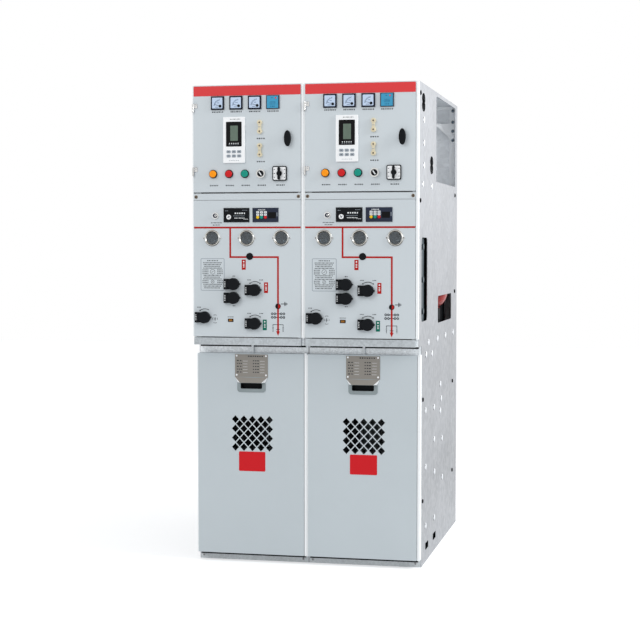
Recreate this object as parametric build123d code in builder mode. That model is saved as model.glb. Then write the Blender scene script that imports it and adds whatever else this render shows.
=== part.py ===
"""Solid insulated switchgear: two sheet-metal cubicles side by side, in millimetres.

The origin is the middle of the base. +X runs to the right as seen from the front,
+Y to the back and +Z up. Depths are counted from the upper front plane.
"""
import os

from build123d import *

os.makedirs("parts", exist_ok=True)

# Cubicle
cubicle_width = 420.0
body_depth = 1060.0
sheet = 2.0
cubicle_gap = 0.5
running_gap = 5.0
fit_gap = 0.3
overrun = 10.0

# Front heights, from the floor up
base_height = 28.0
cable_front_height = 752.0
lower_strip_height = 31.0
upper_strip_height = 29.0
mechanism_height = 502.0
top_strip_height = 26.0
instrument_height = 394.0

# Front depths
upper_frame_setback = 18.0
lower_front_setback = 48.0
upright_width = 24.0

# Front panels
panel_left_gap = 5.0
panel_right_gap = 11.0
panel_corner = 3.0
edge_strip_gap = 1.5
draft_angle = 3.0
seam = 2.5

# Side sheet openings
cutout_front_share = 0.414
cutout_bottom_share = 0.806
cutout_rear_margin = 60.0
cutout_top_margin = 15.0
cutout_corner = 10.0
slot_depth = 145.0
slot_height = 306.0
slot_corner = 22.0
slot_place_shares = (0.1353, 0.597)
window_depth = 390.0
window_height = 105.0
window_corner = 12.0
window_place_shares = (0.6538, 0.5264)
wire_hole_radius = 18.0
wire_hole_spacing = 25.0
wire_hole_place_shares = ((0.103, 0.961), (0.296, 0.838))
bolt_hole_radius = 7.0
bolt_hole_place_shares = (
    (0.034, 0.977), (0.034, 0.759), (0.930, 0.786), (0.928, 0.559),
    (0.874, 0.348), (0.104, 0.348), (0.874, 0.136), (0.104, 0.136),
)
earth_slot_length = 60.0
earth_slot_height = 15.0
earth_slot_place_shares = ((0.2085, 0.0324), (0.3915, 0.0324))

# Rear frame
post_width = 28.0
post_depth = 20.0
rail_height = 12.0
rail_drop = 74.0
gusset_size = 50.0
gusset_thickness = 3.0

# Base and floors
base_flange_depth = 50.0
base_thickness = 3.0
anchor_radius = 7.0
anchor_inset = 70.0
cable_gap_share = 0.2
cable_gap_place_share = 0.5
instrument_room_share = 0.406

# Mechanism panel fittings, placed by shares of the panel's width and height
sight_across_shares = (-0.335, -0.012, 0.311)
sight_up_share = 0.723
sight_hole_radius = 24.0
sight_glass_thickness = 3.0
bezel_land = 6.0
bezel_lip = 1.5
bezel_height = 5.0
bezel_crest_shares = (0.45, 0.6)
bezel_ear_radius = 4.5
key_lock_radius = 12.0
key_lock_barrel_radius = 8.0
key_lock_height = 7.0
key_lock_place_shares = (-0.303, 0.886)
module_gap = 12.5
module_height = 52.0
module_thickness = 4.0
module_edge = 1.5
fault_module_place_shares = (-0.105, 0.890)
voltage_module_place_shares = (0.166, 0.890)

# Operating spindles and their hinged lids
first_lid_place_shares = (-0.132, 0.388)
other_lid_place_shares = ((0.0655, 0.345), (-0.4066, 0.143), (0.0655, 0.101))
lid_stack_gap = 6.7
spindle_radius = 7.0
spindle_reach = 8.0
lid_radius = 22.0
lid_height = 18.0
lid_wall = 2.5
lid_edge = 3.0
lid_foot_gap = 0.6
lid_nub_land = 1.0
lid_skirt_share = 0.68
hinge_block_height = 38.0
hinge_block_width = 11.0
hinge_block_reach = 12.0
lid_hinge_radius = 3.0
lid_pin_radius = 1.5
lid_pin_gap = 0.08
lid_knuckle_length = 8.0
lid_knuckle_gap = 0.5
lid_web = 3.0

# Mechanism, epoxy and busbar pieces behind the panel
mechanism_front_depth = 70.0
mechanism_rear_depth = 204.0
mechanism_plate = 6.0
mechanism_side_inset = 12.0
mechanism_margin = 24.0
shaft_radius = 11.0
shaft_up_shares = (0.19, 0.42, 0.66)
phase_pitch_share = 0.33
bus_radius = 84.0
bus_dome = 60.0
bus_depth_share = 0.72
bus_up_share = 0.571
bus_leg_radius = 42.0
sleeve_radius = 38.0
sleeve_height = 220.0
sleeve_depth_share = 0.87

# Instrument door
door_depth = 13.0
door_swing_radius = 4.0
door_pin_radius = 2.0
door_pin_gap = 0.08
door_hinge_height = 31.0
door_hinge_leaf_width = 15.0
door_hinge_up_shares = (0.787, 0.198)
meter_size = 49.0
meter_height = 6.0
meter_flange = 3.0
meter_body_depth = 42.0
meter_across_shares = (-0.279, -0.106, 0.067, 0.236)
meter_up_share = 0.83
relay_width = 82.0
relay_height = 167.0
relay_thickness = 6.0
relay_flange = 4.0
relay_body_depth = 70.0
relay_place_shares = (-0.124, 0.487)
link_lobe_radius = 9.0
link_height = 50.0
link_waist_width = 10.0
link_thickness = 8.0
link_place_shares = ((0.115, 0.604), (0.115, 0.391))
lamp_radius = 15.5
lamp_ring_height = 5.0
lamp_lens_radius = 12.7
lamp_lens_height = 7.0
lamp_body_radius = 11.0
lamp_body_depth = 38.0
lamp_across_shares = (-0.322, -0.173, -0.025)
control_up_share = 0.175
key_switch_across_share = 0.125
key_switch_radius = 17.0
key_switch_height = 9.0
selector_across_share = 0.299
selector_size = 53.0
selector_corner = 6.0
selector_thickness = 6.0
knob_radius = 10.0
knob_height = 5.0
knob_lever_length = 46.0
knob_lever_width = 9.0
knob_lever_height = 11.0
knob_shaft_radius = 5.0
lock_place_shares = (0.376, 0.495)
lock_width = 25.0
lock_length = 58.0
lock_thickness = 9.0
lock_hub_radius = 9.0
lock_hub_height = 8.0
lock_nut_radius = 13.0
lock_nut_thickness = 6.0

# Cable door
cable_door_depth = 31.0
vent_columns = 5
vent_rows = 7
vent_pitch_across = 32.5
vent_pitch_up = 34.5
vent_web = 3.5
vent_across = 3.0
vent_up_share = 0.602
finger_width = 86.0
finger_height = 25.0
finger_depth = 22.0
finger_corner = 5.0
cup_wall = 2.0
plate_width = 125.0
plate_height = 84.0
plate_top_margin = 3.6
hood_height = 20.5
hood_reach = 14.0
hood_front_width = 82.0
hood_hollow_share = 0.4
rim_width = 11.0
tongue_width = 8.0
tongue_thickness = 4.0
tongue_reach = 38.0
tongue_across = -2.0
hook_pin_radius = 4.0
hook_width = 12.0
hook_height = 26.0
hook_up_shares = (0.15, 0.85)

# Levels and depths that follow from the sizes above
lower_strip_level = base_height + cable_front_height
step_level = lower_strip_level + lower_strip_height
mechanism_level = step_level + upper_strip_height
top_strip_level = mechanism_level + mechanism_height
instrument_level = top_strip_level + top_strip_height
cubicle_height = instrument_level + instrument_height
knob_reach = selector_thickness + fit_gap + knob_height + knob_lever_height
lock_reach = lock_hub_height + lock_thickness
front_reach = max(lid_height, knob_reach, lock_reach)
front_y = (front_reach - body_depth) / 2
rear_y = front_y + body_depth
upper_frame_y = front_y + upper_frame_setback
lower_front_y = front_y + lower_front_setback
lower_frame_y = lower_front_y + cable_door_depth + running_gap
room_back_y = front_y + body_depth * instrument_room_share
inner_half = cubicle_width / 2 - cubicle_gap / 2 - sheet
panel_width = cubicle_width - panel_left_gap - panel_right_gap
panel_left = panel_left_gap - cubicle_width / 2
panel_centre = panel_left + panel_width / 2
lid_stack_pitch = 2 * lid_radius + lid_stack_gap
cubicles = {"left": -cubicle_width / 2, "right": cubicle_width / 2}
walls = {
    "left_outer": cubicles["left"] - inner_half - sheet,
    "left_inner": cubicles["left"] + inner_half,
    "right_inner": cubicles["right"] - inner_half - sheet,
    "right_outer": cubicles["right"] + inner_half,
}


def front_plane(depth_y, across=0.0, up=0.0):
    """A plane that faces the viewer: local x is across and local y is up."""
    return Plane(origin=(across, depth_y, up), x_dir=(1, 0, 0), z_dir=(0, -1, 0))


def block(low, high, mode=Mode.ADD):
    """A plain rectangular bar or sheet between two corners."""
    size = [b - a for a, b in zip(low, high)]
    with Locations(tuple((a + b) / 2 for a, b in zip(low, high))):
        Box(*size, mode=mode)


def on_side(depth_share, height_share):
    """A place on a side sheet, from shares of the body's depth and height."""
    return front_y + body_depth * depth_share, cubicle_height * height_share


def on_mechanism_panel(centre, shares):
    """A place on a mechanism panel, from shares of its width and height."""
    return centre + shares[0] * panel_width, mechanism_level + shares[1] * mechanism_height


def on_instrument_door(centre, shares):
    """A place on an instrument door, from shares of its width and height."""
    return centre + shares[0] * panel_width, instrument_level + shares[1] * instrument_height


def lid_places(centre):
    """The places of a cubicle's five spindles and lids; the second hangs under the first."""
    across, up = on_mechanism_panel(centre, first_lid_place_shares)
    others = [on_mechanism_panel(centre, shares) for shares in other_lid_place_shares]
    return [(across, up), (across, up - lid_stack_pitch), *others]


def save(piece, name):
    piece.part.label = name
    export_step(piece.part, f"parts/{name}.step")


# Side sheets, stepped back below and cut for busbars, wiring and the mechanism
for wall, wall_x in walls.items():
    with BuildPart() as side_sheet:
        with BuildSketch(Plane.YZ.offset(wall_x)):
            with BuildLine():
                Polyline(
                    (lower_frame_y, 0),
                    (lower_frame_y, step_level),
                    (upper_frame_y, step_level),
                    (upper_frame_y, cubicle_height),
                    (rear_y, cubicle_height),
                    (rear_y, 0),
                    close=True,
                )
            make_face()
            cutout_low = on_side(cutout_front_share, cutout_bottom_share)
            cutout_high = (rear_y - cutout_rear_margin, cubicle_height - cutout_top_margin)
            with Locations(tuple((a + b) / 2 for a, b in zip(cutout_low, cutout_high))):
                cutout_size = [b - a for a, b in zip(cutout_low, cutout_high)]
                RectangleRounded(*cutout_size, cutout_corner, mode=Mode.SUBTRACT)
            with Locations(on_side(*slot_place_shares)):
                RectangleRounded(slot_depth, slot_height, slot_corner, mode=Mode.SUBTRACT)
            with Locations(on_side(*window_place_shares)):
                RectangleRounded(window_depth, window_height, window_corner, mode=Mode.SUBTRACT)
            for place_shares in wire_hole_place_shares:
                depth, level = on_side(*place_shares)
                for rise in (-wire_hole_spacing / 2, wire_hole_spacing / 2):
                    with Locations((depth, level + rise)):
                        Circle(wire_hole_radius, mode=Mode.SUBTRACT)
            with Locations(*[on_side(*place_shares) for place_shares in bolt_hole_place_shares]):
                Circle(bolt_hole_radius, mode=Mode.SUBTRACT)
            with Locations(*[on_side(*place_shares) for place_shares in earth_slot_place_shares]):
                SlotOverall(earth_slot_length, earth_slot_height, mode=Mode.SUBTRACT)
        extrude(amount=sheet)
    save(side_sheet, f"side_sheet_{wall}")

# Front uprights, one pair of strips inside each side sheet
with BuildPart() as front_uprights:
    for centre in cubicles.values():
        for edge in (centre - inner_half, centre + inner_half - upright_width):
            block(
                (edge, upper_frame_y, step_level + sheet),
                (edge + upright_width, upper_frame_y + sheet, cubicle_height - sheet),
            )
            block(
                (edge, lower_frame_y, base_height + sheet),
                (edge + upright_width, lower_frame_y + sheet, step_level),
            )
save(front_uprights, "front_uprights")

# Narrow strips that close the front beside the free edge of each door and panel
with BuildPart() as front_edge_strips:
    for centre in cubicles.values():
        strip_left = centre + panel_left + panel_width + edge_strip_gap
        strip_right = centre + inner_half + sheet
        block(
            (strip_left, front_y + sheet, mechanism_level),
            (strip_right, upper_frame_y, cubicle_height - sheet),
        )
        block(
            (strip_left, lower_front_y + sheet, base_height + sheet),
            (strip_right, lower_frame_y, lower_strip_level),
        )
save(front_edge_strips, "front_edge_strips")

# Roof sheets and rear covers close the cubicles between their side sheets
with BuildPart() as roof_sheets:
    for centre in cubicles.values():
        block(
            (centre - inner_half, upper_frame_y, cubicle_height - sheet),
            (centre + inner_half, rear_y, cubicle_height),
        )
save(roof_sheets, "roof_sheets")

with BuildPart() as rear_covers:
    for centre in cubicles.values():
        block(
            (centre - inner_half, rear_y - sheet, base_height),
            (centre + inner_half, rear_y, cubicle_height - sheet),
        )
save(rear_covers, "rear_covers")

# Rear posts and the two rails between them, the lower one with corner gussets
post_y = rear_y - sheet - post_depth
post_top = cubicle_height - sheet
with BuildPart() as rear_posts:
    for centre in cubicles.values():
        for edge in (centre - inner_half, centre + inner_half - post_width):
            block((edge, post_y, instrument_level), (edge + post_width, rear_y - sheet, post_top))
save(rear_posts, "rear_posts")

rail_half = inner_half - post_width
rail_level = cubicle_height - rail_drop
with BuildPart() as rear_rails:
    for centre in cubicles.values():
        block(
            (centre - rail_half, post_y, post_top - rail_height),
            (centre + rail_half, rear_y - sheet, post_top),
        )
        block(
            (centre - rail_half, post_y, rail_level - rail_height),
            (centre + rail_half, rear_y - sheet, rail_level),
        )
        with BuildSketch(front_plane(post_y, centre, rail_level - rail_height)):
            for hand in (-1, 1):
                with BuildLine():
                    Polyline(
                        (hand * rail_half, 0),
                        (hand * (rail_half - gusset_size), 0),
                        (hand * rail_half, -gusset_size),
                        close=True,
                    )
                make_face()
        extrude(amount=-gusset_thickness)
save(rear_rails, "rear_rails")

# Base angles with anchor holes, and the floor plates on them
with BuildPart() as base_rails:
    for centre in cubicles.values():
        for face_y, inward in ((lower_frame_y, 1), (rear_y, -1)):
            with BuildSketch(Plane.YZ.offset(centre - inner_half)):
                with BuildLine():
                    Polyline(
                        (face_y, 0),
                        (face_y + inward * base_flange_depth, 0),
                        (face_y + inward * base_flange_depth, base_thickness),
                        (face_y + inward * base_thickness, base_thickness),
                        (face_y + inward * base_thickness, base_height),
                        (face_y, base_height),
                        close=True,
                    )
                make_face()
            extrude(amount=2 * inner_half)
            for hand in (-1, 1):
                anchor_x = centre + hand * (cubicle_width / 2 - anchor_inset)
                anchor_y = face_y + inward * (base_flange_depth + base_thickness) / 2
                with Locations((anchor_x, anchor_y, 0)):
                    Cylinder(anchor_radius, 2 * base_thickness + overrun, mode=Mode.SUBTRACT)
save(base_rails, "base_rails")

cable_gap_middle = front_y + body_depth * cable_gap_place_share
cable_gap_half = body_depth * cable_gap_share / 2
with BuildPart() as floor_plates:
    for centre in cubicles.values():
        block(
            (centre - inner_half, lower_frame_y, base_height),
            (centre + inner_half, cable_gap_middle - cable_gap_half, base_height + sheet),
        )
        block(
            (centre - inner_half, cable_gap_middle + cable_gap_half, base_height),
            (centre + inner_half, rear_y - sheet, base_height + sheet),
        )
save(floor_plates, "floor_plates")

# Plates between the cable, mechanism and instrument rooms
tongue_y = lower_front_y + cable_door_depth - tongue_thickness - sheet
with BuildPart() as partition_plates:
    for centre in cubicles.values():
        block(
            (centre - inner_half, upper_frame_y, step_level),
            (centre + inner_half, rear_y - sheet, step_level + sheet),
        )
        tongue_slot = tongue_width / 2 + running_gap
        block(
            (centre + tongue_across - tongue_slot, tongue_y - running_gap, step_level - overrun),
            (
                centre + tongue_across + tongue_slot,
                tongue_y + tongue_thickness + running_gap,
                step_level + overrun,
            ),
            mode=Mode.SUBTRACT,
        )
save(partition_plates, "partition_plates")

with BuildPart() as instrument_floors:
    for centre in cubicles.values():
        block(
            (centre - inner_half, upper_frame_y + sheet, instrument_level - sheet),
            (centre + inner_half, rear_y - sheet, instrument_level),
        )
save(instrument_floors, "instrument_floors")

with BuildPart() as instrument_back_walls:
    for centre in cubicles.values():
        block(
            (centre - inner_half, room_back_y, instrument_level),
            (centre + inner_half, room_back_y + sheet, cubicle_height - sheet),
        )
save(instrument_back_walls, "instrument_back_walls")

# Galvanised cross strips under the mechanism panel
end_block_width = upper_strip_height
with BuildPart() as cross_strips:
    for centre in cubicles.values():
        with BuildSketch(Plane.YZ.offset(centre + panel_left + end_block_width)):
            with Locations((front_y, step_level)):
                Rectangle(upper_frame_setback, upper_strip_height - seam, align=Align.MIN)
            with Locations((front_y + sheet, step_level + sheet)):
                Rectangle(
                    upper_frame_setback,
                    upper_strip_height - seam - 2 * sheet,
                    align=Align.MIN,
                    mode=Mode.SUBTRACT,
                )
        extrude(amount=panel_width - 2 * end_block_width)
        block(
            (centre - inner_half + upright_width, lower_frame_y, lower_strip_level),
            (centre + inner_half - upright_width, lower_frame_y + sheet, step_level),
        )
save(cross_strips, "cross_strips")

with BuildPart() as strip_end_blocks:
    for centre in cubicles.values():
        for edge in (panel_left, panel_left + panel_width - end_block_width):
            block(
                (centre + edge, front_y - sheet / 2, step_level),
                (centre + edge + end_block_width, upper_frame_y, step_level + upper_strip_height - seam),
            )
save(strip_end_blocks, "strip_end_blocks")

# Mechanism panels: shallow pans cut for sight glasses, spindles and the key lock
with BuildPart() as mechanism_panels:
    for centre in cubicles.values():
        panel_middle = centre + panel_centre
        with BuildSketch(front_plane(front_y, panel_middle, mechanism_level + mechanism_height / 2)):
            RectangleRounded(panel_width, mechanism_height - seam, panel_corner)
        extrude(amount=-upper_frame_setback)
        with BuildSketch(front_plane(front_y + sheet, panel_middle, mechanism_level + mechanism_height / 2)):
            Rectangle(panel_width - 2 * sheet, mechanism_height - seam - 2 * sheet)
        extrude(amount=-upper_frame_setback, mode=Mode.SUBTRACT)
        with BuildSketch(front_plane(front_y)):
            for across_share in sight_across_shares:
                with Locations(on_mechanism_panel(centre, (across_share, sight_up_share))):
                    Circle(sight_hole_radius)
            with Locations(*lid_places(centre)):
                Circle(spindle_radius + fit_gap)
            with Locations(on_mechanism_panel(centre, key_lock_place_shares)):
                Circle(key_lock_barrel_radius)
        extrude(amount=-sheet, mode=Mode.SUBTRACT)
save(mechanism_panels, "mechanism_panels")

with BuildPart() as panel_top_strips:
    for centre in cubicles.values():
        block(
            (centre + panel_left, front_y, top_strip_level),
            (centre + panel_left + panel_width, upper_frame_y, instrument_level - seam),
        )
save(panel_top_strips, "panel_top_strips")

# Sight glasses behind turned bezels with two screw ears
bezel_radius = sight_hole_radius + bezel_land
bezel_inner_radius = sight_hole_radius - bezel_lip
bezel_width = bezel_radius - bezel_inner_radius
crest_radii = [bezel_inner_radius + bezel_width * share for share in bezel_crest_shares]
with BuildPart() as window_bezels:
    for centre in cubicles.values():
        for across_share in sight_across_shares:
            across, up = on_mechanism_panel(centre, (across_share, sight_up_share))
            with BuildSketch(Plane.XY.offset(up)):
                with BuildLine():
                    Polyline(
                        (across + bezel_inner_radius, front_y),
                        (across + bezel_radius, front_y),
                        (across + crest_radii[1], front_y - bezel_height),
                        (across + crest_radii[0], front_y - bezel_height),
                        close=True,
                    )
                make_face()
            revolve(axis=Axis((across, front_y, up), (0, 1, 0)))
            with BuildSketch(front_plane(front_y, across, up)):
                with Locations((-bezel_radius, 0), (bezel_radius, 0)):
                    Circle(bezel_ear_radius)
                Circle(sight_hole_radius, mode=Mode.SUBTRACT)
            extrude(amount=bezel_height / 2)
save(window_bezels, "window_bezels")

with BuildPart() as window_glass:
    with BuildSketch(front_plane(front_y)):
        for centre in cubicles.values():
            for across_share in sight_across_shares:
                place_shares = (across_share, sight_up_share)
                with Locations(on_mechanism_panel(centre, place_shares)):
                    Circle(sight_hole_radius - fit_gap)
    extrude(amount=-sight_glass_thickness)
save(window_glass, "window_glass")

# Display modules and key locks on the mechanism panels
module_pitch = (voltage_module_place_shares[0] - fault_module_place_shares[0]) * panel_width
for name, place_shares in (
    ("fault_modules", fault_module_place_shares),
    ("voltage_modules", voltage_module_place_shares),
):
    with BuildPart() as modules:
        with BuildSketch(front_plane(front_y)):
            for centre in cubicles.values():
                with Locations(on_mechanism_panel(centre, place_shares)):
                    Rectangle(module_pitch - module_gap, module_height)
        extrude(amount=module_thickness)
        chamfer(modules.faces().sort_by(Axis.Y).group_by(Axis.Y)[0].edges(), module_edge)
    save(modules, name)

with BuildPart() as key_locks:
    for centre in cubicles.values():
        across, up = on_mechanism_panel(centre, key_lock_place_shares)
        with BuildSketch(front_plane(front_y, across, up)):
            Circle(key_lock_radius)
        extrude(amount=key_lock_height / 2, taper=draft_angle)
        with BuildSketch(front_plane(front_y + sheet, across, up)):
            Circle(key_lock_barrel_radius)
        extrude(amount=sheet + key_lock_height)
save(key_locks, "key_locks")

# Operating spindles run from the mechanism frame out through the panel
with BuildPart() as operating_spindles:
    with BuildSketch(front_plane(front_y + mechanism_front_depth)):
        for centre in cubicles.values():
            with Locations(*lid_places(centre)):
                RegularPolygon(spindle_radius, 6)
    extrude(amount=mechanism_front_depth + spindle_reach)
save(operating_spindles, "operating_spindles")

# Hinge blocks beside the spindles carry the lids on vertical pins
pin_across = -lid_radius
pin_y = front_y - lid_height + lid_hinge_radius
pin_clear = lid_hinge_radius + lid_knuckle_gap
lid_middle_length = hinge_block_height - 2 * (lid_knuckle_length + lid_knuckle_gap)
lid_cap = lid_height - lid_height * lid_skirt_share
skirt_left = 2 * lid_wall + lid_edge - lid_radius
with BuildPart() as lid_hinge_blocks:
    for centre in cubicles.values():
        for across, up in lid_places(centre):
            pin_x = across + pin_across
            block_right = pin_x - pin_clear + lid_knuckle_gap
            low = up - hinge_block_height / 2
            block(
                (block_right - hinge_block_width, front_y - hinge_block_reach, low),
                (block_right, front_y, low + hinge_block_height),
            )
            # the foot of the block runs on under the lid, as far as its open skirt allows
            block(
                (block_right, front_y - lid_height + lid_cap + 2 * lid_knuckle_gap, low),
                (across + skirt_left - lid_knuckle_gap, front_y, low + hinge_block_height),
            )
            for knuckle_low in (low, low + hinge_block_height - lid_knuckle_length):
                with BuildSketch(Plane.XY.offset(knuckle_low)):
                    with Locations((pin_x, pin_y)):
                        Circle(lid_hinge_radius)
                    with BuildLine():
                        Polyline(
                            (pin_x, pin_y - lid_hinge_radius),
                            (pin_x, pin_y + lid_hinge_radius),
                            (block_right, front_y - hinge_block_reach + lid_web),
                            (block_right - hinge_block_width, front_y - hinge_block_reach),
                            close=True,
                        )
                    make_face()
                extrude(amount=lid_knuckle_length)
            with BuildSketch(Plane.XY.offset(low)):
                with Locations((pin_x, pin_y)):
                    Circle(lid_pin_radius)
            extrude(amount=hinge_block_height)
save(lid_hinge_blocks, "lid_hinge_blocks")

# Lids: round hollow caps, open towards their hinge block, with a thumb nub opposite
for side, centre in cubicles.items():
    for number, (across, up) in enumerate(lid_places(centre), start=1):
        with BuildPart() as lid:
            with BuildSketch(front_plane(front_y - lid_foot_gap, across, up)):
                Circle(lid_radius)
                with Locations((lid_radius, 0)):
                    Circle(lid_edge + lid_nub_land)
            extrude(amount=lid_height - lid_foot_gap)
            fillet(lid.faces().sort_by(Axis.Y)[0].edges(), lid_edge)
            with BuildSketch(front_plane(front_y - lid_foot_gap, across, up)):
                Circle(lid_radius - lid_wall)
            extrude(amount=lid_height - lid_foot_gap - lid_wall, mode=Mode.SUBTRACT)
            # the skirt is left open beside the hinge block
            block(
                (across - 2 * lid_radius, front_y - lid_height + lid_cap, up - lid_radius),
                (across + skirt_left, front_y, up + lid_radius),
                mode=Mode.SUBTRACT,
            )
            # room for the fixed knuckles at both ends of the pin
            block(
                (across - 2 * lid_radius, front_y - lid_height - overrun, up - lid_radius),
                (across + pin_across + pin_clear, front_y, up + lid_radius),
                mode=Mode.SUBTRACT,
            )
            with BuildSketch(Plane.XY.offset(up - lid_middle_length / 2)):
                with Locations((across + pin_across, pin_y)):
                    Circle(lid_hinge_radius)
                    Rectangle(2 * pin_clear, 2 * lid_hinge_radius, align=(Align.MIN, Align.CENTER))
            extrude(amount=lid_middle_length)
            with BuildSketch(Plane.XY.offset(up - lid_middle_length / 2)):
                with Locations((across + pin_across, pin_y)):
                    Circle(lid_pin_radius + lid_pin_gap)
            extrude(amount=lid_middle_length, mode=Mode.SUBTRACT)
        save(lid, f"operating_lid_{side}_{number}")

# Mechanism frames: front and rear plates, side plates and shafts, seen through the side slots
mechanism_low = mechanism_level + mechanism_margin
mechanism_high = top_strip_level - mechanism_margin
shaft_y = front_y + (mechanism_front_depth + mechanism_rear_depth + mechanism_plate) / 2
shaft_places = [(shaft_y, mechanism_level + share * mechanism_height) for share in shaft_up_shares]
with BuildPart() as mechanism_frames:
    for centre in cubicles.values():
        for plate_depth in (mechanism_front_depth, mechanism_rear_depth):
            block(
                (centre - inner_half, front_y + plate_depth, mechanism_low),
                (centre + inner_half, front_y + plate_depth + mechanism_plate, mechanism_high),
            )
        for hand in (-1, 1):
            plate_x = centre + hand * (inner_half - mechanism_side_inset)
            block(
                (
                    plate_x - mechanism_plate / 2,
                    front_y + mechanism_front_depth + mechanism_plate + fit_gap,
                    mechanism_low,
                ),
                (plate_x + mechanism_plate / 2, front_y + mechanism_rear_depth - fit_gap, mechanism_high),
            )
        with BuildSketch(Plane.YZ.offset(centre - inner_half)):
            with Locations(*shaft_places):
                Circle(shaft_radius + fit_gap)
        extrude(amount=2 * inner_half, mode=Mode.SUBTRACT)
        with BuildSketch(Plane.YZ.offset(centre - inner_half)):
            with Locations(*shaft_places):
                Circle(shaft_radius)
        extrude(amount=2 * inner_half)
save(mechanism_frames, "mechanism_frames")

# Red epoxy busbar modules on three saddle-topped legs, and the black sleeves behind them
bus_y = front_y + body_depth * bus_depth_share
bus_level = cubicle_height * bus_up_share
phase_pitch = cubicle_width * phase_pitch_share
with BuildPart() as epoxy_modules:
    with BuildSketch(Plane.XY.offset(step_level + sheet)):
        for centre in cubicles.values():
            with Locations((centre, bus_y)):
                with GridLocations(phase_pitch, body_depth, 3, 1):
                    Circle(bus_leg_radius)
    extrude(amount=bus_level - step_level)
    for radius, mode in ((bus_radius + fit_gap, Mode.SUBTRACT), (bus_radius, Mode.ADD)):
        for centre in cubicles.values():
            with BuildSketch(Plane.YZ.offset(centre - inner_half + fit_gap)):
                with Locations((bus_y, bus_level)):
                    Circle(radius)
            extrude(amount=2 * (inner_half - fit_gap), mode=mode)
    ends = epoxy_modules.faces().filter_by(Axis.X)
    fillet(ends.edges(), bus_dome)
save(epoxy_modules, "epoxy_modules")

with BuildPart() as busbar_sleeves:
    with BuildSketch(Plane.XY.offset(step_level + sheet)):
        for centre in cubicles.values():
            with Locations((centre, front_y + body_depth * sleeve_depth_share)):
                with GridLocations(phase_pitch, body_depth, 3, 1):
                    Circle(sleeve_radius)
    extrude(amount=sleeve_height)
save(busbar_sleeves, "busbar_sleeves")

# Lift-off door hinges: a frame leaf with the pin, and a bored leaf on the door
door_pin_y = front_y - door_swing_radius
door_pin_across = panel_left - panel_left_gap + door_swing_radius
leaf_left = panel_left - panel_left_gap + cubicle_gap
knuckle_height = door_hinge_height / 2
with BuildPart() as hinge_frame_leaves:
    for centre in cubicles.values():
        for up_share in door_hinge_up_shares:
            low = instrument_level + up_share * instrument_height - knuckle_height
            block(
                (centre + leaf_left, door_pin_y, low),
                (centre + leaf_left + sheet, upper_frame_y, low + knuckle_height - fit_gap),
            )
            with BuildSketch(Plane.XY.offset(low)):
                with Locations((centre + door_pin_across, door_pin_y)):
                    Circle(door_swing_radius - cubicle_gap)
            extrude(amount=knuckle_height - fit_gap)
            with BuildSketch(Plane.XY.offset(low)):
                with Locations((centre + door_pin_across, door_pin_y)):
                    Circle(door_pin_radius)
            extrude(amount=door_hinge_height - sheet)
save(hinge_frame_leaves, "hinge_frame_leaves")

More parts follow.
